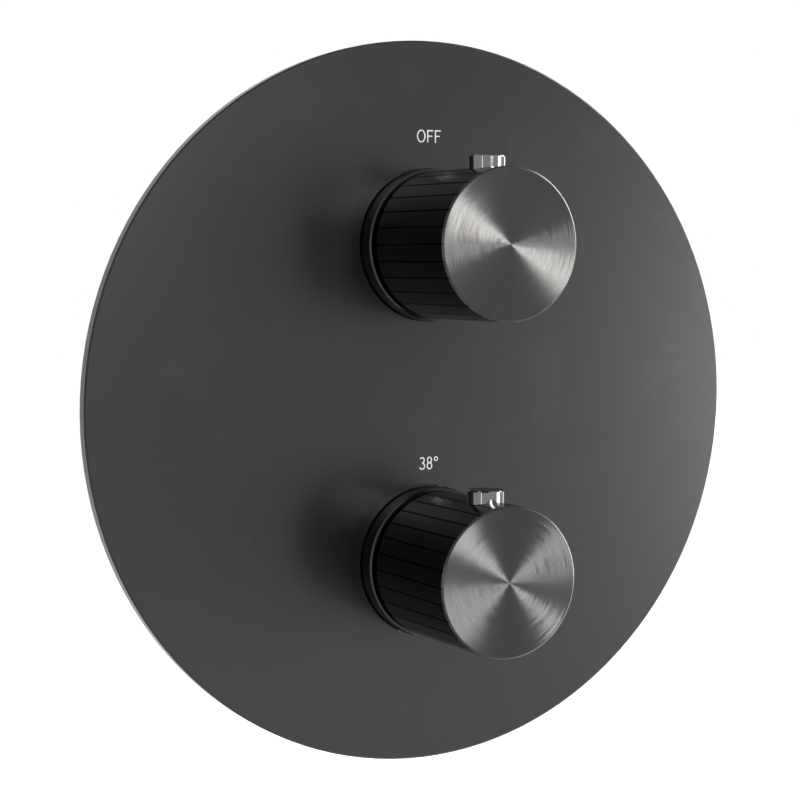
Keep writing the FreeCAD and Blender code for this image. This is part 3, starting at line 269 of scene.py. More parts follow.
class Finish:
    """A material under construction, seen from the valve's own coordinates."""

    def __init__(self, name):
        self.material = bpy.data.materials.new(name)
        self.material.use_nodes = True
        self.tree = self.material.node_tree
        self.tree.nodes.clear()
        self.place = self.node("TexCoord").outputs["Object"]
        self.x, self.y, self.z = self.split(self.place)

    def node(self, kind, settings=None, sockets=None):
        """Adds one node: its settings first, then the values or links of its sockets."""
        node = self.tree.nodes.new("ShaderNode" + kind)
        for name, setting in (settings or {}).items():
            setattr(node, name, setting)
        for name, value in (sockets or {}).items():
            entry = node.inputs[name]
            if isinstance(value, Value):
                self.tree.links.new(value.socket, entry)
            elif isinstance(value, bpy.types.NodeSocket):
                self.tree.links.new(value, entry)
            else:
                entry.default_value = value
        return node

    def value(self, socket):
        return Value(self.tree, socket)

    def split(self, vector):
        node = self.node("SeparateXYZ", sockets={0: vector})
        return [self.value(node.outputs[i]) for i in range(3)]

    def vector(self, x, y, z):
        return self.node("CombineXYZ", sockets={0: x, 1: y, 2: z}).outputs[0]

    def noise(self, scale, detail, roughness=0.5, distortion=0.0):
        """A smooth random value about one half, with scale as its patches in a metre."""
        node = self.node("TexNoise", sockets={
            "Vector": self.place, "Scale": scale, "Detail": detail,
            "Roughness": roughness, "Distortion": distortion})
        return self.value(node.outputs[0])

    def drawn_noise(self, x, y, z, detail=2.0):
        """The same over coordinates that are already scaled, for marks drawn out one way.

        Where only two of them change, the third picks a patch of noise of the mark's own."""
        node = self.node("TexNoise", sockets={
            "Vector": self.vector(x, y, z), "Scale": 1.0, "Detail": detail})
        return self.value(node.outputs[0])

    def cells(self, scale, feature, output):
        """One output of a cell pattern, with scale as its cells in a metre."""
        node = self.node("TexVoronoi", {"feature": feature}, {"Vector": self.place, "Scale": scale})
        return node.outputs[output]

    def step(self, value, low, high):
        """Rises smoothly from 0 at low to 1 at high, or falls when low is above high."""
        ends = (low, high, 0.0, 1.0) if low < high else (high, low, 1.0, 0.0)
        names = ("From Min", "From Max", "To Min", "To Max")
        node = self.node("MapRange", {"interpolation_type": "SMOOTHSTEP"}, {
            "Value": value, **dict(zip(names, ends))})
        return self.value(node.outputs[0])

    def blend(self, factor, first, second):
        """A colour between two colours. A Mix node has its colours in sockets 6 and 7."""
        node = self.node("Mix", {"data_type": "RGBA"}, {0: factor, 6: rgba(first), 7: rgba(second)})
        return node.outputs[2]

    def shade(self, colour, amount):
        """A colour made lighter or darker by a value about 1."""
        if not isinstance(colour, bpy.types.NodeSocket):
            colour = tuple(colour)
        return self.scaled(colour, amount)

    def scaled(self, vector, amount):
        node = self.node("VectorMath", {"operation": "SCALE"}, {0: vector, "Scale": amount})
        return node.outputs[0]

    def bump(self, height, depth, strength):
        """A normal raised by a height from 0 to 1, times depth in metres."""
        sockets = {"Height": height, "Distance": depth, "Strength": strength}
        return self.node("Bump", sockets=sockets).outputs[0]

    def mix(self, factor, first, second):
        """The first shader at 0 and the second at 1."""
        return self.node("MixShader", sockets={
            0: factor, 1: first.outputs[0], 2: second.outputs[0]})

    def surface(self, settings, twin=None):
        """Ends the material in one surface shader, or in an even mix of it and a twin.

        The twin gives the settings in which it differs."""
        shader = self.node("BsdfPrincipled", sockets=settings)
        if twin:
            other = self.node("BsdfPrincipled", sockets={**settings, **twin})
            shader = self.mix(0.5, shader, other)
        self.node("OutputMaterial", sockets={"Surface": shader.outputs[0]})
        return self.material


def rgba(colour):
    """A colour as a socket takes it, with its alpha."""
    if isinstance(colour, bpy.types.NodeSocket):
        return colour
    return (*colour[:3], 1.0)


def finish_settings():
    return bpy.context.scene.valve_finish


def paint(slot_name, material):
    """Gives a finish to every CAD node that has the record's slot."""
    count = 0
    for node in NODES.values():
        for slot in node.material_slots:
            if slot.material and slot.material.name.split(".")[0] == slot_name:
                slot.material = material
                count += 1
    if not count:
        raise RuntimeError(f"no node has the slot {slot_name}")


# ---------------------------------------------------------------- finishes


def satin_gunmetal(name, colour, roughness):
    """A dark vapour coating over fine blasted metal, very slightly uneven in tint and sheen."""
    finish = Finish(name)
    cloud = finish.noise(14.0, detail=3.0)
    grain = finish.noise(GRAIN_SCALE, detail=2.0, roughness=0.6)
    smudge = finish.noise(38.0, detail=4.0, roughness=0.55, distortion=0.6)
    tint = 0.94 + cloud * 0.08 + grain * 0.04
    rough = roughness - 0.02 + grain * 0.02 + finish.step(smudge, 0.5, 0.75) * 0.02
    return finish.surface({
        "Base Color": finish.shade(colour, tint),
        "Metallic": 1.0,
        "Roughness": rough,
        "Normal": finish.bump(grain, GRAIN_HEIGHT, strength=0.4),
    })


def knob_gunmetal(settings):
    """The coating of a knob: a satin flank and rear, and a front face turned in fine rings."""
    finish = Finish("knob_gunmetal")
    across = finish.x
    up = finish.z - finish.z.math("SIGN") * AXIS_HEIGHT
    radius = distance(across, up)
    turn = up.math("ARCTAN2", across)
    face_starts, face_whole = KNOB_FRONT + 0.12 * MM, KNOB_FRONT + 0.04 * MM
    face = finish.step(finish.y, face_starts, face_whole)

    # The rings are V-shaped: each flank leans outwards or inwards from the knob's axis by about the
    # ring slope. Both flanks are too narrow to see, so every point has half of each. The numbers on
    # radius are rings in a metre, and those on turn are patches in a radian.
    fine = finish.drawn_noise(radius * 12000.0, turn * 1.6, 3.0, detail=1.0)
    broad = finish.drawn_noise(radius * 3600.0, turn * 0.8, 11.0)
    arcs = finish.drawn_noise(radius * 5200.0, turn * 2.6, 29.0)
    slope = (settings.ring_slope + (fine - 0.5) * 0.34 + (broad - 0.5) * 0.20) * face
    scratch = finish.step(arcs, 0.62, 0.76) * face
    grain = finish.noise(GRAIN_SCALE, detail=2.0, roughness=0.6)
    plain = finish.bump(grain, GRAIN_HEIGHT, strength=0.4)
    clear_of_axis = radius + 0.001 * MM
    ray = finish.vector(across / clear_of_axis, 0.0, up / clear_of_axis)
    return finish.surface({
        "Base Color": finish.shade(settings.knob_gunmetal, 0.90 + broad * 0.16 + scratch * 0.7),
        "Metallic": 1.0,
        "Roughness": 0.19 - face * 0.01 + grain * 0.03 - scratch * 0.04,
        "Normal": leaned(finish, plain, ray, slope),
    }, twin={
        "Normal": leaned(finish, plain, ray, slope * -1.0),
    })


def leaned(finish, normal, ray, slope):
    """A normal leaned by a slope along a direction in the valve's coordinates."""
    outward = finish.node("VectorTransform", {
        "vector_type": "VECTOR", "convert_from": "OBJECT", "convert_to": "WORLD"}, {0: ray})
    lean = finish.scaled(outward.outputs[0], slope)
    total = finish.node("VectorMath", {"operation": "ADD"}, {0: normal, 1: lean}).outputs[0]
    return finish.node("VectorMath", {"operation": "NORMALIZE"}, {0: total}).outputs[0]


def button_plating(settings):
    """Polished chrome with faint turning marks, and its end darkened in colour as painted shade."""
    finish = Finish("button_plating")
    up = finish.z - finish.z.math("SIGN") * AXIS_HEIGHT
    end = finish.step(up, BUTTON_TOP - 0.06 * MM, BUTTON_TOP - 0.02 * MM)
    radius = distance(finish.x, finish.y - BUTTON_DEPTH)
    rings = finish.drawn_noise(radius * 9000.0, 4.0, 1.0)
    haze = finish.noise(900.0, detail=3.0)
    # The end's colour is cut by 85 percent: painted shade standing in for the dark that the chrome
    # end shows.
    tint = (0.97 + haze * 0.05) * (1.0 - end * 0.85)
    return finish.surface({
        "Base Color": finish.shade(settings.chrome, tint),
        "Metallic": 1.0,
        "Roughness": 0.05 + haze * 0.05,
        "Normal": finish.bump(rings, 0.0012 * MM, strength=0.5),
    })


def machined_brass(settings):
    """Turned brass, slightly dulled, with tool marks round the valve's depth axis."""
    finish = Finish("machined_brass")
    rings = finish.drawn_noise(finish.y * 7000.0, 0.0, finish.z * 30.0)
    dull = finish.noise(120.0, detail=4.0)
    return finish.surface({
        "Base Color": finish.shade(settings.turned_brass, 0.9 + dull * 0.2),
        "Metallic": 1.0,
        "Roughness": 0.22 + dull * 0.16,
        "Normal": finish.bump(rings, 0.006 * MM, strength=0.7),
    })


def sand_cast_brass(settings):
    """The body: a grainy cast skin, with machined towers, port ends and rear faces."""
    finish = Finish("sand_cast_brass")
    soft_edge, skim = 0.1 * MM, 0.2 * MM

    def under(value, limit):
        return finish.step(value, limit + soft_edge, limit - soft_edge)

    def over(value, limit):
        return finish.step(value, limit - skim - soft_edge, limit - skim + soft_edge)

    from_axis = distance(finish.x, abs(finish.z) - AXIS_HEIGHT)
    cut = under(from_axis, TOWER_RADIUS) * under(finish.y, TOWER_ROOT)
    for value, limit in ((finish.y, BODY_BACK), (abs(finish.x), PORT_REACH), (finish.z, TOP_REACH)):
        cut = cut.math("MAXIMUM", over(value, limit))

    grains = finish.noise(1700.0, detail=3.0, roughness=0.65)
    pits = finish.value(finish.cells(1100.0, "F1", "Distance"))
    lines = finish.drawn_noise(from_axis * 5200.0, finish.y * 5200.0, 7.0)
    height = (grains * 0.7 + pits * 0.5) * (1.0 - cut) + lines * cut * 0.12
    stain = finish.noise(55.0, detail=5.0, roughness=0.6)
    cast = finish.shade(settings.cast_brass, 0.72 + stain * 0.5 + grains * 0.1)
    turned = finish.shade(settings.turned_brass, 0.92 + stain * 0.16)
    return finish.surface({
        "Base Color": finish.blend(cut, cast, turned),
        "Metallic": 1.0,
        "Roughness": 0.50 + stain * 0.14 - cut * 0.28,
        "Normal": finish.bump(height, 0.07 * MM, strength=0.8),
    })


def bright_zinc(settings):
    """Clear zinc plate: pale crystals with a blue and straw cast, over the rolling grain."""
    finish = Finish("bright_zinc")
    crystal = finish.split(finish.cells(420.0, "F1", "Color"))[0]
    cast = finish.noise(34.0, detail=3.0)
    grain = finish.drawn_noise(finish.x * 260.0, finish.y * 900.0, finish.z * 5200.0, detail=3.0)
    red, green, blue = settings.zinc
    straw = (red * 1.06, green * 1.01, blue * 0.86)
    colour = finish.blend(finish.step(cast, 0.42, 0.66), settings.zinc, straw)
    return finish.surface({
        "Base Color": finish.shade(colour, 0.88 + crystal * 0.12 + grain * 0.08),
        "Metallic": 1.0,
        "Roughness": 0.30 + crystal * 0.10 + cast * 0.08,
        "Normal": finish.bump(grain, 0.008 * MM, strength=0.6),
    })


def plain_steel(name, colour, roughness, marks):
    """Stainless steel with the marks of its making, given as marks in a metre on X, Y and Z."""
    finish = Finish(name)
    lines = finish.drawn_noise(finish.x * marks[0], finish.y * marks[1], finish.z * marks[2])
    dull = finish.noise(260.0, detail=3.0)
    return finish.surface({
        "Base Color": finish.shade(colour, 0.88 + dull * 0.22),
        "Metallic": 1.0,
        "Roughness": roughness + dull * 0.10,
        "Normal": finish.bump(lines, 0.008 * MM, strength=0.6),
    })


def moulded_acetal(name, colour, roughness):
    """Moulded plastic: a fine spark-eroded skin and faint flow marks."""
    finish = Finish(name)
    skin = finish.noise(3800.0, detail=2.0, roughness=0.6)
    flow = finish.noise(70.0, detail=3.0, distortion=1.2)
    return finish.surface({
        "Base Color": finish.shade(colour, 0.95 + flow * 0.08),
        "Roughness": roughness + skin * 0.10,
        "IOR": 1.48,
        "Normal": finish.bump(skin, 0.01 * MM, strength=0.6),
    })


def soft_rubber(name, colour, pore, depth):
    """Rubber or closed foam: matt, with pores of a given width and depth."""
    finish = Finish(name)
    pores = finish.value(finish.cells(1.0 / pore, "SMOOTH_F1", "Distance"))
    bloom = finish.noise(150.0, detail=4.0)
    return finish.surface({
        "Base Color": finish.shade(colour, 0.8 + bloom * 0.5),
        "Roughness": 0.66 + bloom * 0.2,
        "Specular IOR Level": 0.35,
        "Normal": finish.bump(pores, depth, strength=0.8),
    })


def lapped_ceramic():
    """Alumina: off-white with a fine speckle and a lapped sheen."""
    finish = Finish("lapped_ceramic")
    speck = finish.noise(2600.0, detail=2.0, roughness=0.7)
    return finish.surface({
        "Base Color": finish.shade(ALUMINA, 0.94 + speck * 0.1),
        "Roughness": 0.16 + speck * 0.12,
        "IOR": 1.76,
        "Normal": finish.bump(speck, 0.002 * MM, strength=0.5),
    })


def legend_ink(settings):
    """A thin matt film, very slightly uneven in colour."""
    finish = Finish("legend_ink")
    weave = finish.noise(9000.0, detail=3.0, roughness=0.6)
    return finish.surface({
        "Base Color": finish.shade(settings.ink, 0.9 + weave * 0.16),
        "Roughness": 0.55 + weave * 0.1,
        "Normal": finish.bump(weave, 0.003 * MM, strength=0.5),
    })


# ---------------------------------------------------------------- meshes

# How much prouder the upper bowl of a 3 or an 8 is, so that the bowls' fronts don't share a plane.
BOWL_STEP = 0.004 * MM


def mesh_piece(name, build, material, body=None):
    """A new object from a function that fills a bmesh. It rides on a CAD body if one is named."""
    mesh = bpy.data.meshes.new(name)
    shape = bmesh.new()
    build(shape)
    bmesh.ops.recalc_face_normals(shape, faces=shape.faces)
    shape.to_mesh(mesh)
    shape.free()
    mesh.materials.append(material)
    piece = bpy.data.objects.new(name, mesh)
    bpy.context.scene.collection.objects.link(piece)
    if body:
        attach(piece, body)
    return piece


def ellipse(centre, half_width, half_height, start=0.0, end=360.0, count=48):
    """Points on an ellipse in the plate's plane, angles in degrees from +X towards +Z."""
    angles = [math.radians(start + (end - start) * i / count) for i in range(count + 1)]
    return [(centre[0] + half_width * math.cos(angle), centre[1] + half_height * math.sin(angle))
            for angle in angles]


def stroke_edges(points, width, closed):
    """The two edges of a stroke along a line of points. A closed line ends where it starts."""
    if closed:
        points = points[:-1]
    count = len(points)
    left, right = [], []
    for i, (x, z) in enumerate(points):
        before = points[(i - 1) % count] if closed or i > 0 else points[i]
        after = points[(i + 1) % count] if closed or i < count - 1 else points[i]
        run_x, run_z = after[0] - before[0], after[1] - before[1]
        length = math.hypot(run_x, run_z)
        off_x, off_z = -run_z / length * width / 2, run_x / length * width / 2
        left.append((x + off_x, z + off_z))
        right.append((x - off_x, z - off_z))
    return left, right


def add_stroke(shape, points, width, closed, front, back):
    """A flat stroke between two depths."""
    left, right = stroke_edges(points, width, closed)
    rings = [[shape.verts.new((x, depth, z)) for x, z in edge]
             for edge, depth in ((left, front), (right, front), (right, back), (left, back))]
    count = len(left)
    spans = count if closed else count - 1
    for a, b in zip(rings, rings[1:] + rings[:1]):
        for i in range(spans):
            j = (i + 1) % count
            shape.faces.new((a[i], a[j], b[j], b[i]))
    if not closed:
        for i in (0, count - 1):
            shape.faces.new([ring[i] for ring in rings])


def add_outline(shape, corners, front, back):
    """A flat letter from its outline."""
    near = [shape.verts.new((x, front, z)) for x, z in corners]
    far = [shape.verts.new((x, back, z)) for x, z in corners]
    shape.faces.new(near)
    shape.faces.new(far[::-1])
    for i in range(len(corners)):
        j = (i + 1) % len(corners)
        shape.faces.new((near[i], near[j], far[j], far[i]))


def letter_o(shape, left, base, width, height, stroke, front, back):
    centre = (left + width / 2, base + height / 2)
    ring = ellipse(centre, (width - stroke) / 2, (height - stroke) / 2)
    add_stroke(shape, ring, stroke, True, front, back)


def letter_f(shape, left, base, width, height, stroke, front, back):
    """The middle bar is a little shorter and thinner than the top one."""
    stem, right, top = left + stroke, left + width, base + height
    bar_end = left + width * 0.86
    bar_low = base + height * 0.46
    bar_high = bar_low + stroke * 0.92
    corners = [
        (left, base), (stem, base), (stem, bar_low), (bar_end, bar_low), (bar_end, bar_high),
        (stem, bar_high), (stem, top - stroke), (right, top - stroke), (right, top), (left, top)]
    add_outline(shape, corners, front, back)


def figure_bowls(left, base, width, height, stroke):
    """Centres and half sizes of the two bowls that the figures 3 and 8 share."""
    lower_half = (height - stroke) * 0.27
    upper_half = (height - stroke) * 0.23
    half_width = (width - stroke) / 2
    middle = left + width / 2
    lower = ((middle, base + stroke / 2 + lower_half), half_width, lower_half)
    upper = ((middle, base + height - stroke / 2 - upper_half), half_width * 0.88, upper_half)
    return lower, upper


def figure_eight(shape, left, base, width, height, stroke, front, back):
    lower, upper = figure_bowls(left, base, width, height, stroke)
    add_stroke(shape, ellipse(*lower), stroke, True, front, back)
    add_stroke(shape, ellipse(*upper), stroke, True, front - BOWL_STEP, back)


def figure_three(shape, left, base, width, height, stroke, front, back):
    lower, upper = figure_bowls(left, base, width, height, stroke)
    add_stroke(shape, ellipse(*lower, start=-158.0, end=90.0), stroke, False, front, back)
    upper_line = ellipse(*upper, start=-90.0, end=152.0)
    add_stroke(shape, upper_line, stroke, False, front - BOWL_STEP, back)


def degree_mark(shape, centre, outer, stroke, front, back):
    line_radius = outer - stroke / 2
    ring = ellipse(centre, line_radius, line_radius, count=32)
    add_stroke(shape, ring, stroke, True, front, back)


def helix_ridge(shape, radius, depth, pitch, length, steps=40):
    """A thread inside a bore along +X, standing inwards from radius, tapered in at both ends."""
    foot, top = 0.44 * pitch, 0.07 * pitch
    buried = radius + 0.02 * MM
    least = 0.02 * depth
    count = int(length / pitch * steps)
    rows = []
    for i in range(count + 1):
        angle = 2 * math.pi * i / steps
        along = length * i / count
        crest = radius - max(min(1.0, i / steps, (count - i) / steps) * depth, least)
        profile = ((-foot, buried), (-top, crest), (top, crest), (foot, buried))
        rows.append([
            shape.verts.new((along + shift, reach * math.cos(angle), reach * math.sin(angle)))
            for shift, reach in profile])
    for a, b in zip(rows, rows[1:]):
        for j in range(4):
            shape.faces.new((a[j], a[(j + 1) % 4], b[(j + 1) % 4], b[j]))
    shape.faces.new(rows[0])
    shape.faces.new(rows[-1][::-1])


def unit(axis):
    """The unit vector of an axis: 0, 1 or 2 for X, Y or Z, and on round again from 3."""
    return Vector([1.0 if i == axis % 3 else 0.0 for i in range(3)])


def helix_wire(shape, ends, axis, wire, turns, steps=32, sides=10):
    """A coil of round wire that fills a box from end to end of one axis."""
    middle = (ends[0] + ends[1]) / 2
    along = unit(axis)
    first = unit(axis + 1)
    second = along.cross(first)
    reach = (ends[1] - ends[0]).dot(along) / 2 - wire
    radius = (ends[1] - ends[0]).dot(first) / 2 - wire
    count = int(turns * steps)
    rings = []
    for i in range(count + 1):
        angle = 2 * math.pi * turns * i / count
        out = first * math.cos(angle) + second * math.sin(angle)
        round_turn = second * math.cos(angle) - first * math.sin(angle)
        run = round_turn * radius + along * (reach / math.pi / turns)
        lift = run.normalized().cross(out)
        spot = middle + out * radius + along * reach * (2 * i / count - 1)
        rings.append([spot + (out * math.cos(turn) + lift * math.sin(turn)) * wire
                      for turn in (2 * math.pi * j / sides for j in range(sides))])
    loft(shape, rings)


def ring_points(radius, depth, centre, flats=0.0, sides=48):
    """Points round a line along Y: a circle, or a hexagon if its width over flats is given."""
    points = []
    for i in range(sides):
        angle = 2 * math.pi * i / sides
        reach = radius
        if flats:
            reach = flats / 2 / math.cos((angle % (math.pi / 3)) - math.pi / 6)
        points.append(Vector((
            centre[0] + reach * math.cos(angle), depth, centre[1] + reach * math.sin(angle))))
    return points


def loft(shape, rings):
    """Skins a row of rings of as many points each, and closes both ends with a fan."""
    rows = [[shape.verts.new(point) for point in ring] for ring in rings]
    count = len(rows[0])
    for a, b in zip(rows, rows[1:]):
        for i in range(count):
            j = (i + 1) % count
            shape.faces.new((a[i], a[j], b[j], b[i]))
    for row, ring in ((rows[0], rings[0]), (rows[-1], rings[-1])):
        middle = shape.verts.new(sum(ring, Vector()) / count)
        for i in range(count):
            shape.faces.new((row[i], row[(i + 1) % count], middle))


# ---------------------------------------------------------------- operators: finishes


class VALVE_OT_cover_plate(bpy.types.Operator):
    """Satin gunmetal for the round cover plate and the two base sleeves"""

    bl_idname = "valve.cover_plate"
    bl_label = "Cover plate and sleeves"

    def execute(self, context):
        settings = finish_settings()
        paint("plate_metal", satin_gunmetal(
            "plate_gunmetal", settings.gunmetal, settings.plate_roughness))
        paint("sleeve_metal", satin_gunmetal(
            "sleeve_gunmetal", settings.gunmetal, settings.sleeve_roughness))
        return {"FINISHED"}


class VALVE_OT_knobs(bpy.types.Operator):
    """Gunmetal with ring-turned faces for the two knobs"""

    bl_idname = "valve.knobs"
    bl_label = "Knobs"

    def execute(self, context):
        paint("knob_metal", knob_gunmetal(finish_settings()))
        return {"FINISHED"}


class VALVE_OT_buttons(bpy.types.Operator):
    """Polished chrome for the two push buttons"""

    bl_idname = "valve.buttons"
    bl_label = "Push buttons"

    def execute(self, context):
        paint("button_chrome", button_plating(finish_settings()))
        return {"FINISHED"}


class VALVE_OT_cartridges(bpy.types.Operator):
    """Turned brass, moulded plastic and lapped ceramic for both cartridges"""

    bl_idname = "valve.cartridges"
    bl_label = "Cartridges"

    def execute(self, context):
        paint("brass", machined_brass(finish_settings()))
        paint("white_plastic", moulded_acetal("white_acetal", WHITE_ACETAL, roughness=0.34))
        paint("dark_plastic", moulded_acetal("dark_acetal", DARK_ACETAL, roughness=0.38))
        paint("ceramic", lapped_ceramic())
        return {"FINISHED"}


class VALVE_OT_body(bpy.types.Operator):
    """Cast brass with machined faces for the body"""

    bl_idname = "valve.body"
    bl_label = "Body"

    def execute(self, context):
        paint("cast_brass", sand_cast_brass(finish_settings()))
        return {"FINISHED"}


# The springs whose ends move apart: the node, the bodies at its low and its high end, the axis of
# its coil (0, 1 or 2 for X, Y or Z), the radius of its wire, and its turns.
SPRINGS = (
    ("flow_button_spring", "flow_control", "flow_push", 2, 0.3 * MM, 5.0),
    ("temperature_button_spring", "temperature_control", "temperature_push", 2, 0.3 * MM, 5.0),
    ("return_spring", "thermostat", "valve", 1, 0.55 * MM, 3.0),
    ("hot_check_spring", "hot_check", "valve", 0, 0.3 * MM, 5.0),
    ("cold_check_spring", "valve", "cold_check", 0, 0.3 * MM, 5.0),
)


class VALVE_OT_small_steel(bpy.types.Operator):
    """Drawn wire and plain stainless for the springs, clips, filters and grub screws"""

    bl_idname = "valve.small_steel"
    bl_label = "Springs and small steel"

    def execute(self, context):
        wire = plain_steel("drawn_wire", DRAWN_WIRE, roughness=0.22, marks=(900.0, 900.0, 900.0))
        turned = plain_steel(
            "turned_stainless", STAINLESS, roughness=0.26, marks=(700.0, 6000.0, 700.0))
        paint("spring_steel", wire)
        paint("screw_steel", turned)
        for node, low_body, high_body, axis, radius, turns in SPRINGS:
            self.spring(node, low_body, high_body, axis, radius, turns, wire)
        return {"FINISHED"}

    def spring(self, node, low_body, high_body, axis, radius, turns, material):
        """Round wire in the place of a CAD spring, filling the spring's box from end to end."""
        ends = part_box(node)
        piece = mesh_piece(
            node + "_wire", lambda shape: helix_wire(shape, ends, axis, radius, turns), material)
        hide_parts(node)
        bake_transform(piece)


class VALVE_OT_seals(bpy.types.Operator):
    """Rubber rings and the foam gasket"""

    bl_idname = "valve.seals"
    bl_label = "Seals and gasket"

    def execute(self, context):
        rubber = soft_rubber("ring_rubber", RING_RUBBER, pore=0.35 * MM, depth=0.004 * MM)
        foam = soft_rubber("closed_foam", CLOSED_FOAM, pore=0.9 * MM, depth=0.12 * MM)
        paint("seal_rubber", rubber)
        paint("foam", foam)
        return {"FINISHED"}


# From the side of the box round all four CAD screws to the axis of the nearest: a head's radius.
SCREW_INSET = 4.6 * MM


class VALVE_OT_bracket(bpy.types.Operator):
    """Clear zinc plate for the bracket, and its four screws with sockets in their heads"""

    bl_idname = "valve.bracket"
    bl_label = "Bracket and screws"

    def execute(self, context):
        zinc = bright_zinc(finish_settings())
        paint("zinc_steel", zinc)
        low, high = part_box("bracket_screws")
        spots = [(x, z) for x in (low.x + SCREW_INSET, high.x - SCREW_INSET)
                 for z in (low.z + SCREW_INSET, high.z - SCREW_INSET)]
        screws = mesh_piece(
            "bracket_screw_set", lambda shape: self.screws(shape, spots, low.y, high.y), zinc,
            "valve")
        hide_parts("bracket_screws")
        return {"FINISHED"}

    def screws(self, shape, spots, tip, top):
        """Pan heads with a hexagon socket, on plain shanks."""
        shank, head, socket = 2.35 * MM, 4.55 * MM, 3.0 * MM
        under_head = top - 2.35 * MM
        outside = (
            (shank * 0.8, tip),
            (shank, tip + 0.5 * MM),
            (shank, under_head),
            (head - 0.1 * MM, under_head),
            (head, under_head + 0.1 * MM),
            (head, under_head + 0.9 * MM),
            (head - 0.12 * MM, under_head + 1.4 * MM),
            (head - 0.5 * MM, under_head + 1.9 * MM),
            (head - 1.1 * MM, top - 0.1 * MM),
            (head - 1.9 * MM, top),
        )
        hexagon = (
            (socket + 0.2 * MM, top),
            (socket, top - 0.15 * MM),
            (socket, top - 1.5 * MM),
        )
        drill_point = (0.5 * MM, top - 1.8 * MM)
        for spot in spots:
            rings = [ring_points(radius, depth, spot) for radius, depth in outside]
            rings += [ring_points(0.0, depth, spot, flats=flats) for flats, depth in hexagon]
            rings.append(ring_points(*drill_point, spot))
            loft(shape, rings)


class VALVE_OT_port_threads(bpy.types.Operator):
    """Pipe threads in the two inlets and the two outlets"""

    bl_idname = "valve.port_threads"
    bl_label = "Port threads"

    def execute(self, context):
        brass = machined_brass(finish_settings())
        for mount in frame["record"]["mounts"]:
            if mount["kind"] == "threaded_hole":
                self.thread(mount, brass, context.scene.valve_threads)
        return {"FINISHED"}

    def thread(self, mount, brass, sizes):
        """One thread, from just inside the mouth of a port."""
        axis = Vector(mount["axis"])
        middle = Vector(mount["pos_m"])
        mouth = middle + axis * (mount["dims"]["length_mm"] * MM / 2)
        start = mouth - axis * (sizes.port_length + sizes.port_mouth)
        turn = Vector((1, 0, 0)).rotation_difference(axis).to_matrix().to_4x4()

        def build(shape):
            helix_ridge(
                shape, sizes.port_radius, sizes.port_depth, sizes.port_pitch, sizes.port_length)
            bmesh.ops.transform(shape, matrix=turn, verts=shape.verts)
            bmesh.ops.translate(shape, vec=start, verts=shape.verts)

        mesh_piece(mount["name"] + "_thread", build, brass, "valve")


# Left edge and width of each character, measured across from the knobs' axes.
LETTER_O = (-3.44 * MM, 2.65 * MM)
LETTERS_F = ((-0.26 * MM, 1.90 * MM), (2.14 * MM, 1.90 * MM))
FIGURE_THREE = (-2.74 * MM, 1.90 * MM)
FIGURE_EIGHT = (-0.33 * MM, 1.80 * MM)

# The degree mark: where its centre is across from the axis and down from the figures' tops, its
# outer radius, and its stroke as a part of the figures'.
DEGREE_ACROSS, DEGREE_DROP = 2.63 * MM, 0.67 * MM
DEGREE_RADIUS = 0.66 * MM
DEGREE_STROKE = 0.8

# How far the round letter passes the straight ones at its top and foot, and how far the films reach
# into the plate.
OVERSHOOT = 0.07 * MM
FILM_SINK = 0.01 * MM


class VALVE_OT_legends(bpy.types.Operator):
    """The word and the figures above the knobs, as thin printed films on the plate"""

    bl_idname = "valve.legends"
    bl_label = "Legends"

    def execute(self, context):
        ink = legend_ink(finish_settings())
        mesh_piece("legend_off", self.word, ink, "valve")
        mesh_piece("legend_38", self.figures, ink, "valve")
        return {"FINISHED"}

    def word(self, shape):
        sizes = bpy.context.scene.valve_legends
        front, back = PLATE_FRONT - sizes.film, PLATE_FRONT + FILM_SINK
        base, height, stroke = sizes.off_base, sizes.off_height, sizes.stroke
        left, width = LETTER_O
        letter_o(
            shape, left, base - OVERSHOOT, width, height + OVERSHOOT * 2, stroke, front, back)
        for left, width in LETTERS_F:
            letter_f(shape, left, base, width, height, stroke, front, back)

    def figures(self, shape):
        sizes = bpy.context.scene.valve_legends
        front, back = PLATE_FRONT - sizes.film, PLATE_FRONT + FILM_SINK
        base, height, stroke = sizes.figure_base, sizes.figure_height, sizes.stroke
        for figure, (left, width) in ((figure_three, FIGURE_THREE), (figure_eight, FIGURE_EIGHT)):
            figure(shape, left, base, width, height, stroke, front, back)
        centre = (DEGREE_ACROSS, base + height - DEGREE_DROP)
        degree_mark(shape, centre, DEGREE_RADIUS, stroke * DEGREE_STROKE, front, back)


# ---------------------------------------------------------------- operator: stage

# Name, azimuth from straight in front of the plate towards the right, elevation, width and height
# in metres, radiance, colour. All stand LAMP_DISTANCE from the middle of the plate, in metres.
LAMPS = (
    ("softbox_right", 54.0, -6.0, (0.60, 0.74), 14.0, LAMP_WHITE),
    ("softbox_front", 1.5, 15.0, (0.40, 0.48), 22.5, LAMP_WHITE),
    ("strip_left", -56.0, -2.0, (0.08, 0.70), 5.0, WHITE),
    ("softbox_rear", 118.0, 10.0, (0.80, 1.70), 4.5, WHITE),
)
LAMP_DISTANCE = 1.5


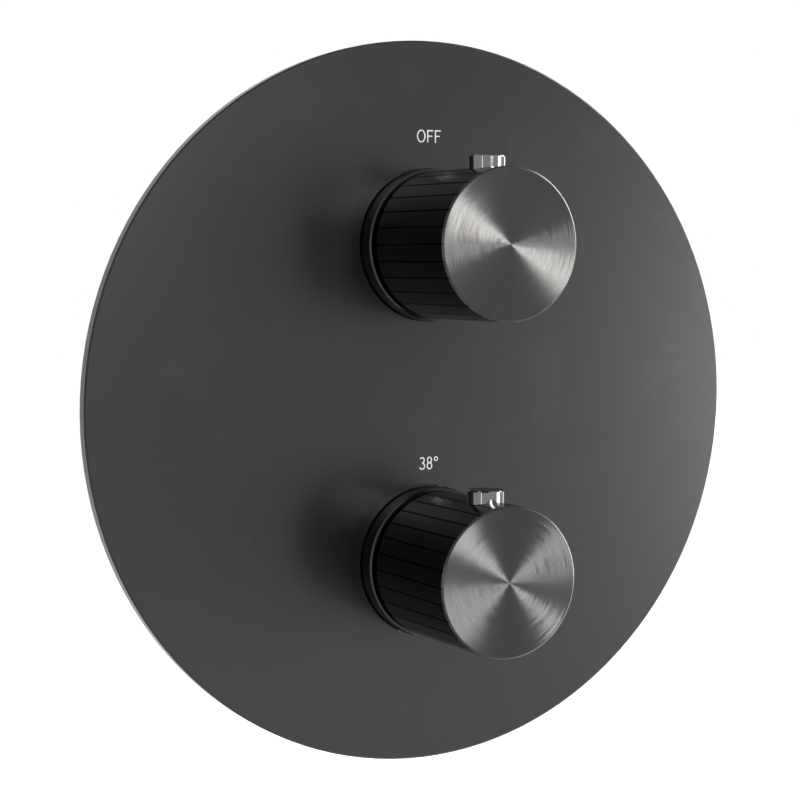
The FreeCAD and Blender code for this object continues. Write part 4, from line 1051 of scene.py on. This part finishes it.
class VALVE_OT_stage(bpy.types.Operator):
    """Camera, softboxes, white world and pale floor"""

    bl_idname = "valve.stage"
    bl_label = "Stage"

    def execute(self, context):
        settings = context.scene.valve_stage
        self.camera(context, settings)
        self.world(context, settings)
        self.floor(context, settings)
        for lamp in LAMPS:
            self.softbox(context, *lamp)
        context.scene.view_settings.view_transform = "Standard"
        return {"FINISHED"}

    def camera(self, context, settings):
        data = bpy.data.cameras.new("photo_camera")
        data.lens = settings.lens
        data.sensor_width = 36.0
        data.clip_start = 0.01
        data.clip_end = 50.0
        camera = bpy.data.objects.new("photo_camera", data)
        camera.location = settings.camera_place
        camera.rotation_euler = settings.camera_turn
        context.scene.collection.objects.link(camera)
        context.scene.camera = camera

    def softbox(self, context, name, azimuth, elevation, size, radiance, colour):
        """A soft lamp that faces the middle of the plate. Its angles are in degrees."""
        across, up = math.radians(azimuth), math.radians(elevation)
        outward = Vector((
            math.sin(across) * math.cos(up), -math.cos(across) * math.cos(up), math.sin(up)))
        data = bpy.data.lights.new(name, "AREA")
        data.shape = "RECTANGLE"
        data.size, data.size_y = size
        data.energy = radiance * math.pi * size[0] * size[1]
        data.color = colour
        lamp = bpy.data.objects.new(name, data)
        lamp.location = outward * LAMP_DISTANCE
        lamp.rotation_euler = outward.to_track_quat("Z", "Y").to_euler()
        context.scene.collection.objects.link(lamp)

    def seen(self, finish):
        """1 for the camera, reflections and refractions, 0 for the light on matt surfaces."""
        path = finish.node("LightPath")
        rays = [finish.value(path.outputs[name]) for name in (
            "Is Camera Ray", "Is Glossy Ray", "Is Transmission Ray")]
        total = rays[0] + rays[1] + rays[2]
        return total.math("MINIMUM", 1.0)

    def world(self, context, settings):
        world = bpy.data.worlds.new("white_world")
        context.scene.world = world
        world.use_nodes = True
        sky = WorldShader(world)
        matt = sky.node("Background", sockets={"Color": rgba(WHITE), "Strength": settings.ambient})
        white = sky.node("Background", sockets={"Color": rgba(WHITE), "Strength": 1.0})
        mixed = sky.mix(self.seen(sky), matt, white)
        sky.node("OutputWorld", sockets={"Surface": mixed.outputs[0]})

    def floor(self, context, settings):
        half = settings.floor_size / 2
        mesh = bpy.data.meshes.new("floor")
        corners = [(-half, -half), (half, -half), (half, half), (-half, half)]
        mesh.from_pydata([(x, y, settings.floor_height) for x, y in corners], [], [(0, 1, 2, 3)])
        floor = bpy.data.objects.new("floor", mesh)
        context.scene.collection.objects.link(floor)
        finish = Finish("pale_floor")
        fleck = finish.noise(60.0, detail=3.0)
        grey = finish.shade(FLOOR_GREY, 0.99 + fleck * 0.02)
        matt = finish.node("BsdfDiffuse", sockets={"Color": grey})
        lift = finish.node("Emission", sockets={
            "Color": rgba(WHITE), "Strength": settings.floor_lift})
        dark = finish.node("Emission", sockets={"Strength": 0.0})
        shown = finish.mix(self.seen(finish), dark, lift)
        both = finish.node("AddShader", sockets={0: matt.outputs[0], 1: shown.outputs[0]})
        finish.node("OutputMaterial", sockets={"Surface": both.outputs[0]})
        mesh.materials.append(finish.material)


class WorldShader(Finish):
    """The world's node tree, built with the same methods as a material."""

    def __init__(self, world):
        self.tree = world.node_tree
        self.tree.nodes.clear()


# ---------------------------------------------------------------- panel and registration

OPERATORS = (
    VALVE_OT_stage,
    VALVE_OT_cover_plate,
    VALVE_OT_knobs,
    VALVE_OT_buttons,
    VALVE_OT_cartridges,
    VALVE_OT_body,
    VALVE_OT_small_steel,
    VALVE_OT_seals,
    VALVE_OT_bracket,
    VALVE_OT_port_threads,
    VALVE_OT_legends,
)


SETTINGS = {
    "valve_finish": FinishSettings,
    "valve_legends": LegendSettings,
    "valve_threads": ThreadSettings,
    "valve_stage": StageSettings,
}


class VALVE_PT_looks(bpy.types.Panel):
    """Lists the valve's settings and steps"""

    bl_idname = "VALVE_PT_looks"
    bl_label = "Shower Valve"
    bl_space_type = "VIEW_3D"
    bl_region_type = "UI"
    bl_category = "Shower Valve"

    def draw(self, context):
        for group in SETTINGS:
            box = self.layout.box()
            settings = getattr(context.scene, group)
            for name in settings.__annotations__:
                box.prop(settings, name)
        for operator in OPERATORS:
            self.layout.operator(operator.bl_idname)


def register():
    for group in SETTINGS.values():
        bpy.utils.register_class(group)
    for name, group in SETTINGS.items():
        setattr(bpy.types.Scene, name, PointerProperty(type=group))
    for operator in OPERATORS:
        bpy.utils.register_class(operator)
    bpy.utils.register_class(VALVE_PT_looks)


def unregister():
    bpy.utils.unregister_class(VALVE_PT_looks)
    for operator in reversed(OPERATORS):
        bpy.utils.unregister_class(operator)
    for name in SETTINGS:
        delattr(bpy.types.Scene, name)
    for group in reversed(list(SETTINGS.values())):
        bpy.utils.unregister_class(group)


def main():
    register()
    for operator in OPERATORS:
        space, name = operator.bl_idname.split(".")
        getattr(getattr(bpy.ops, space), name)()


if __name__ == "__main__":
    main()
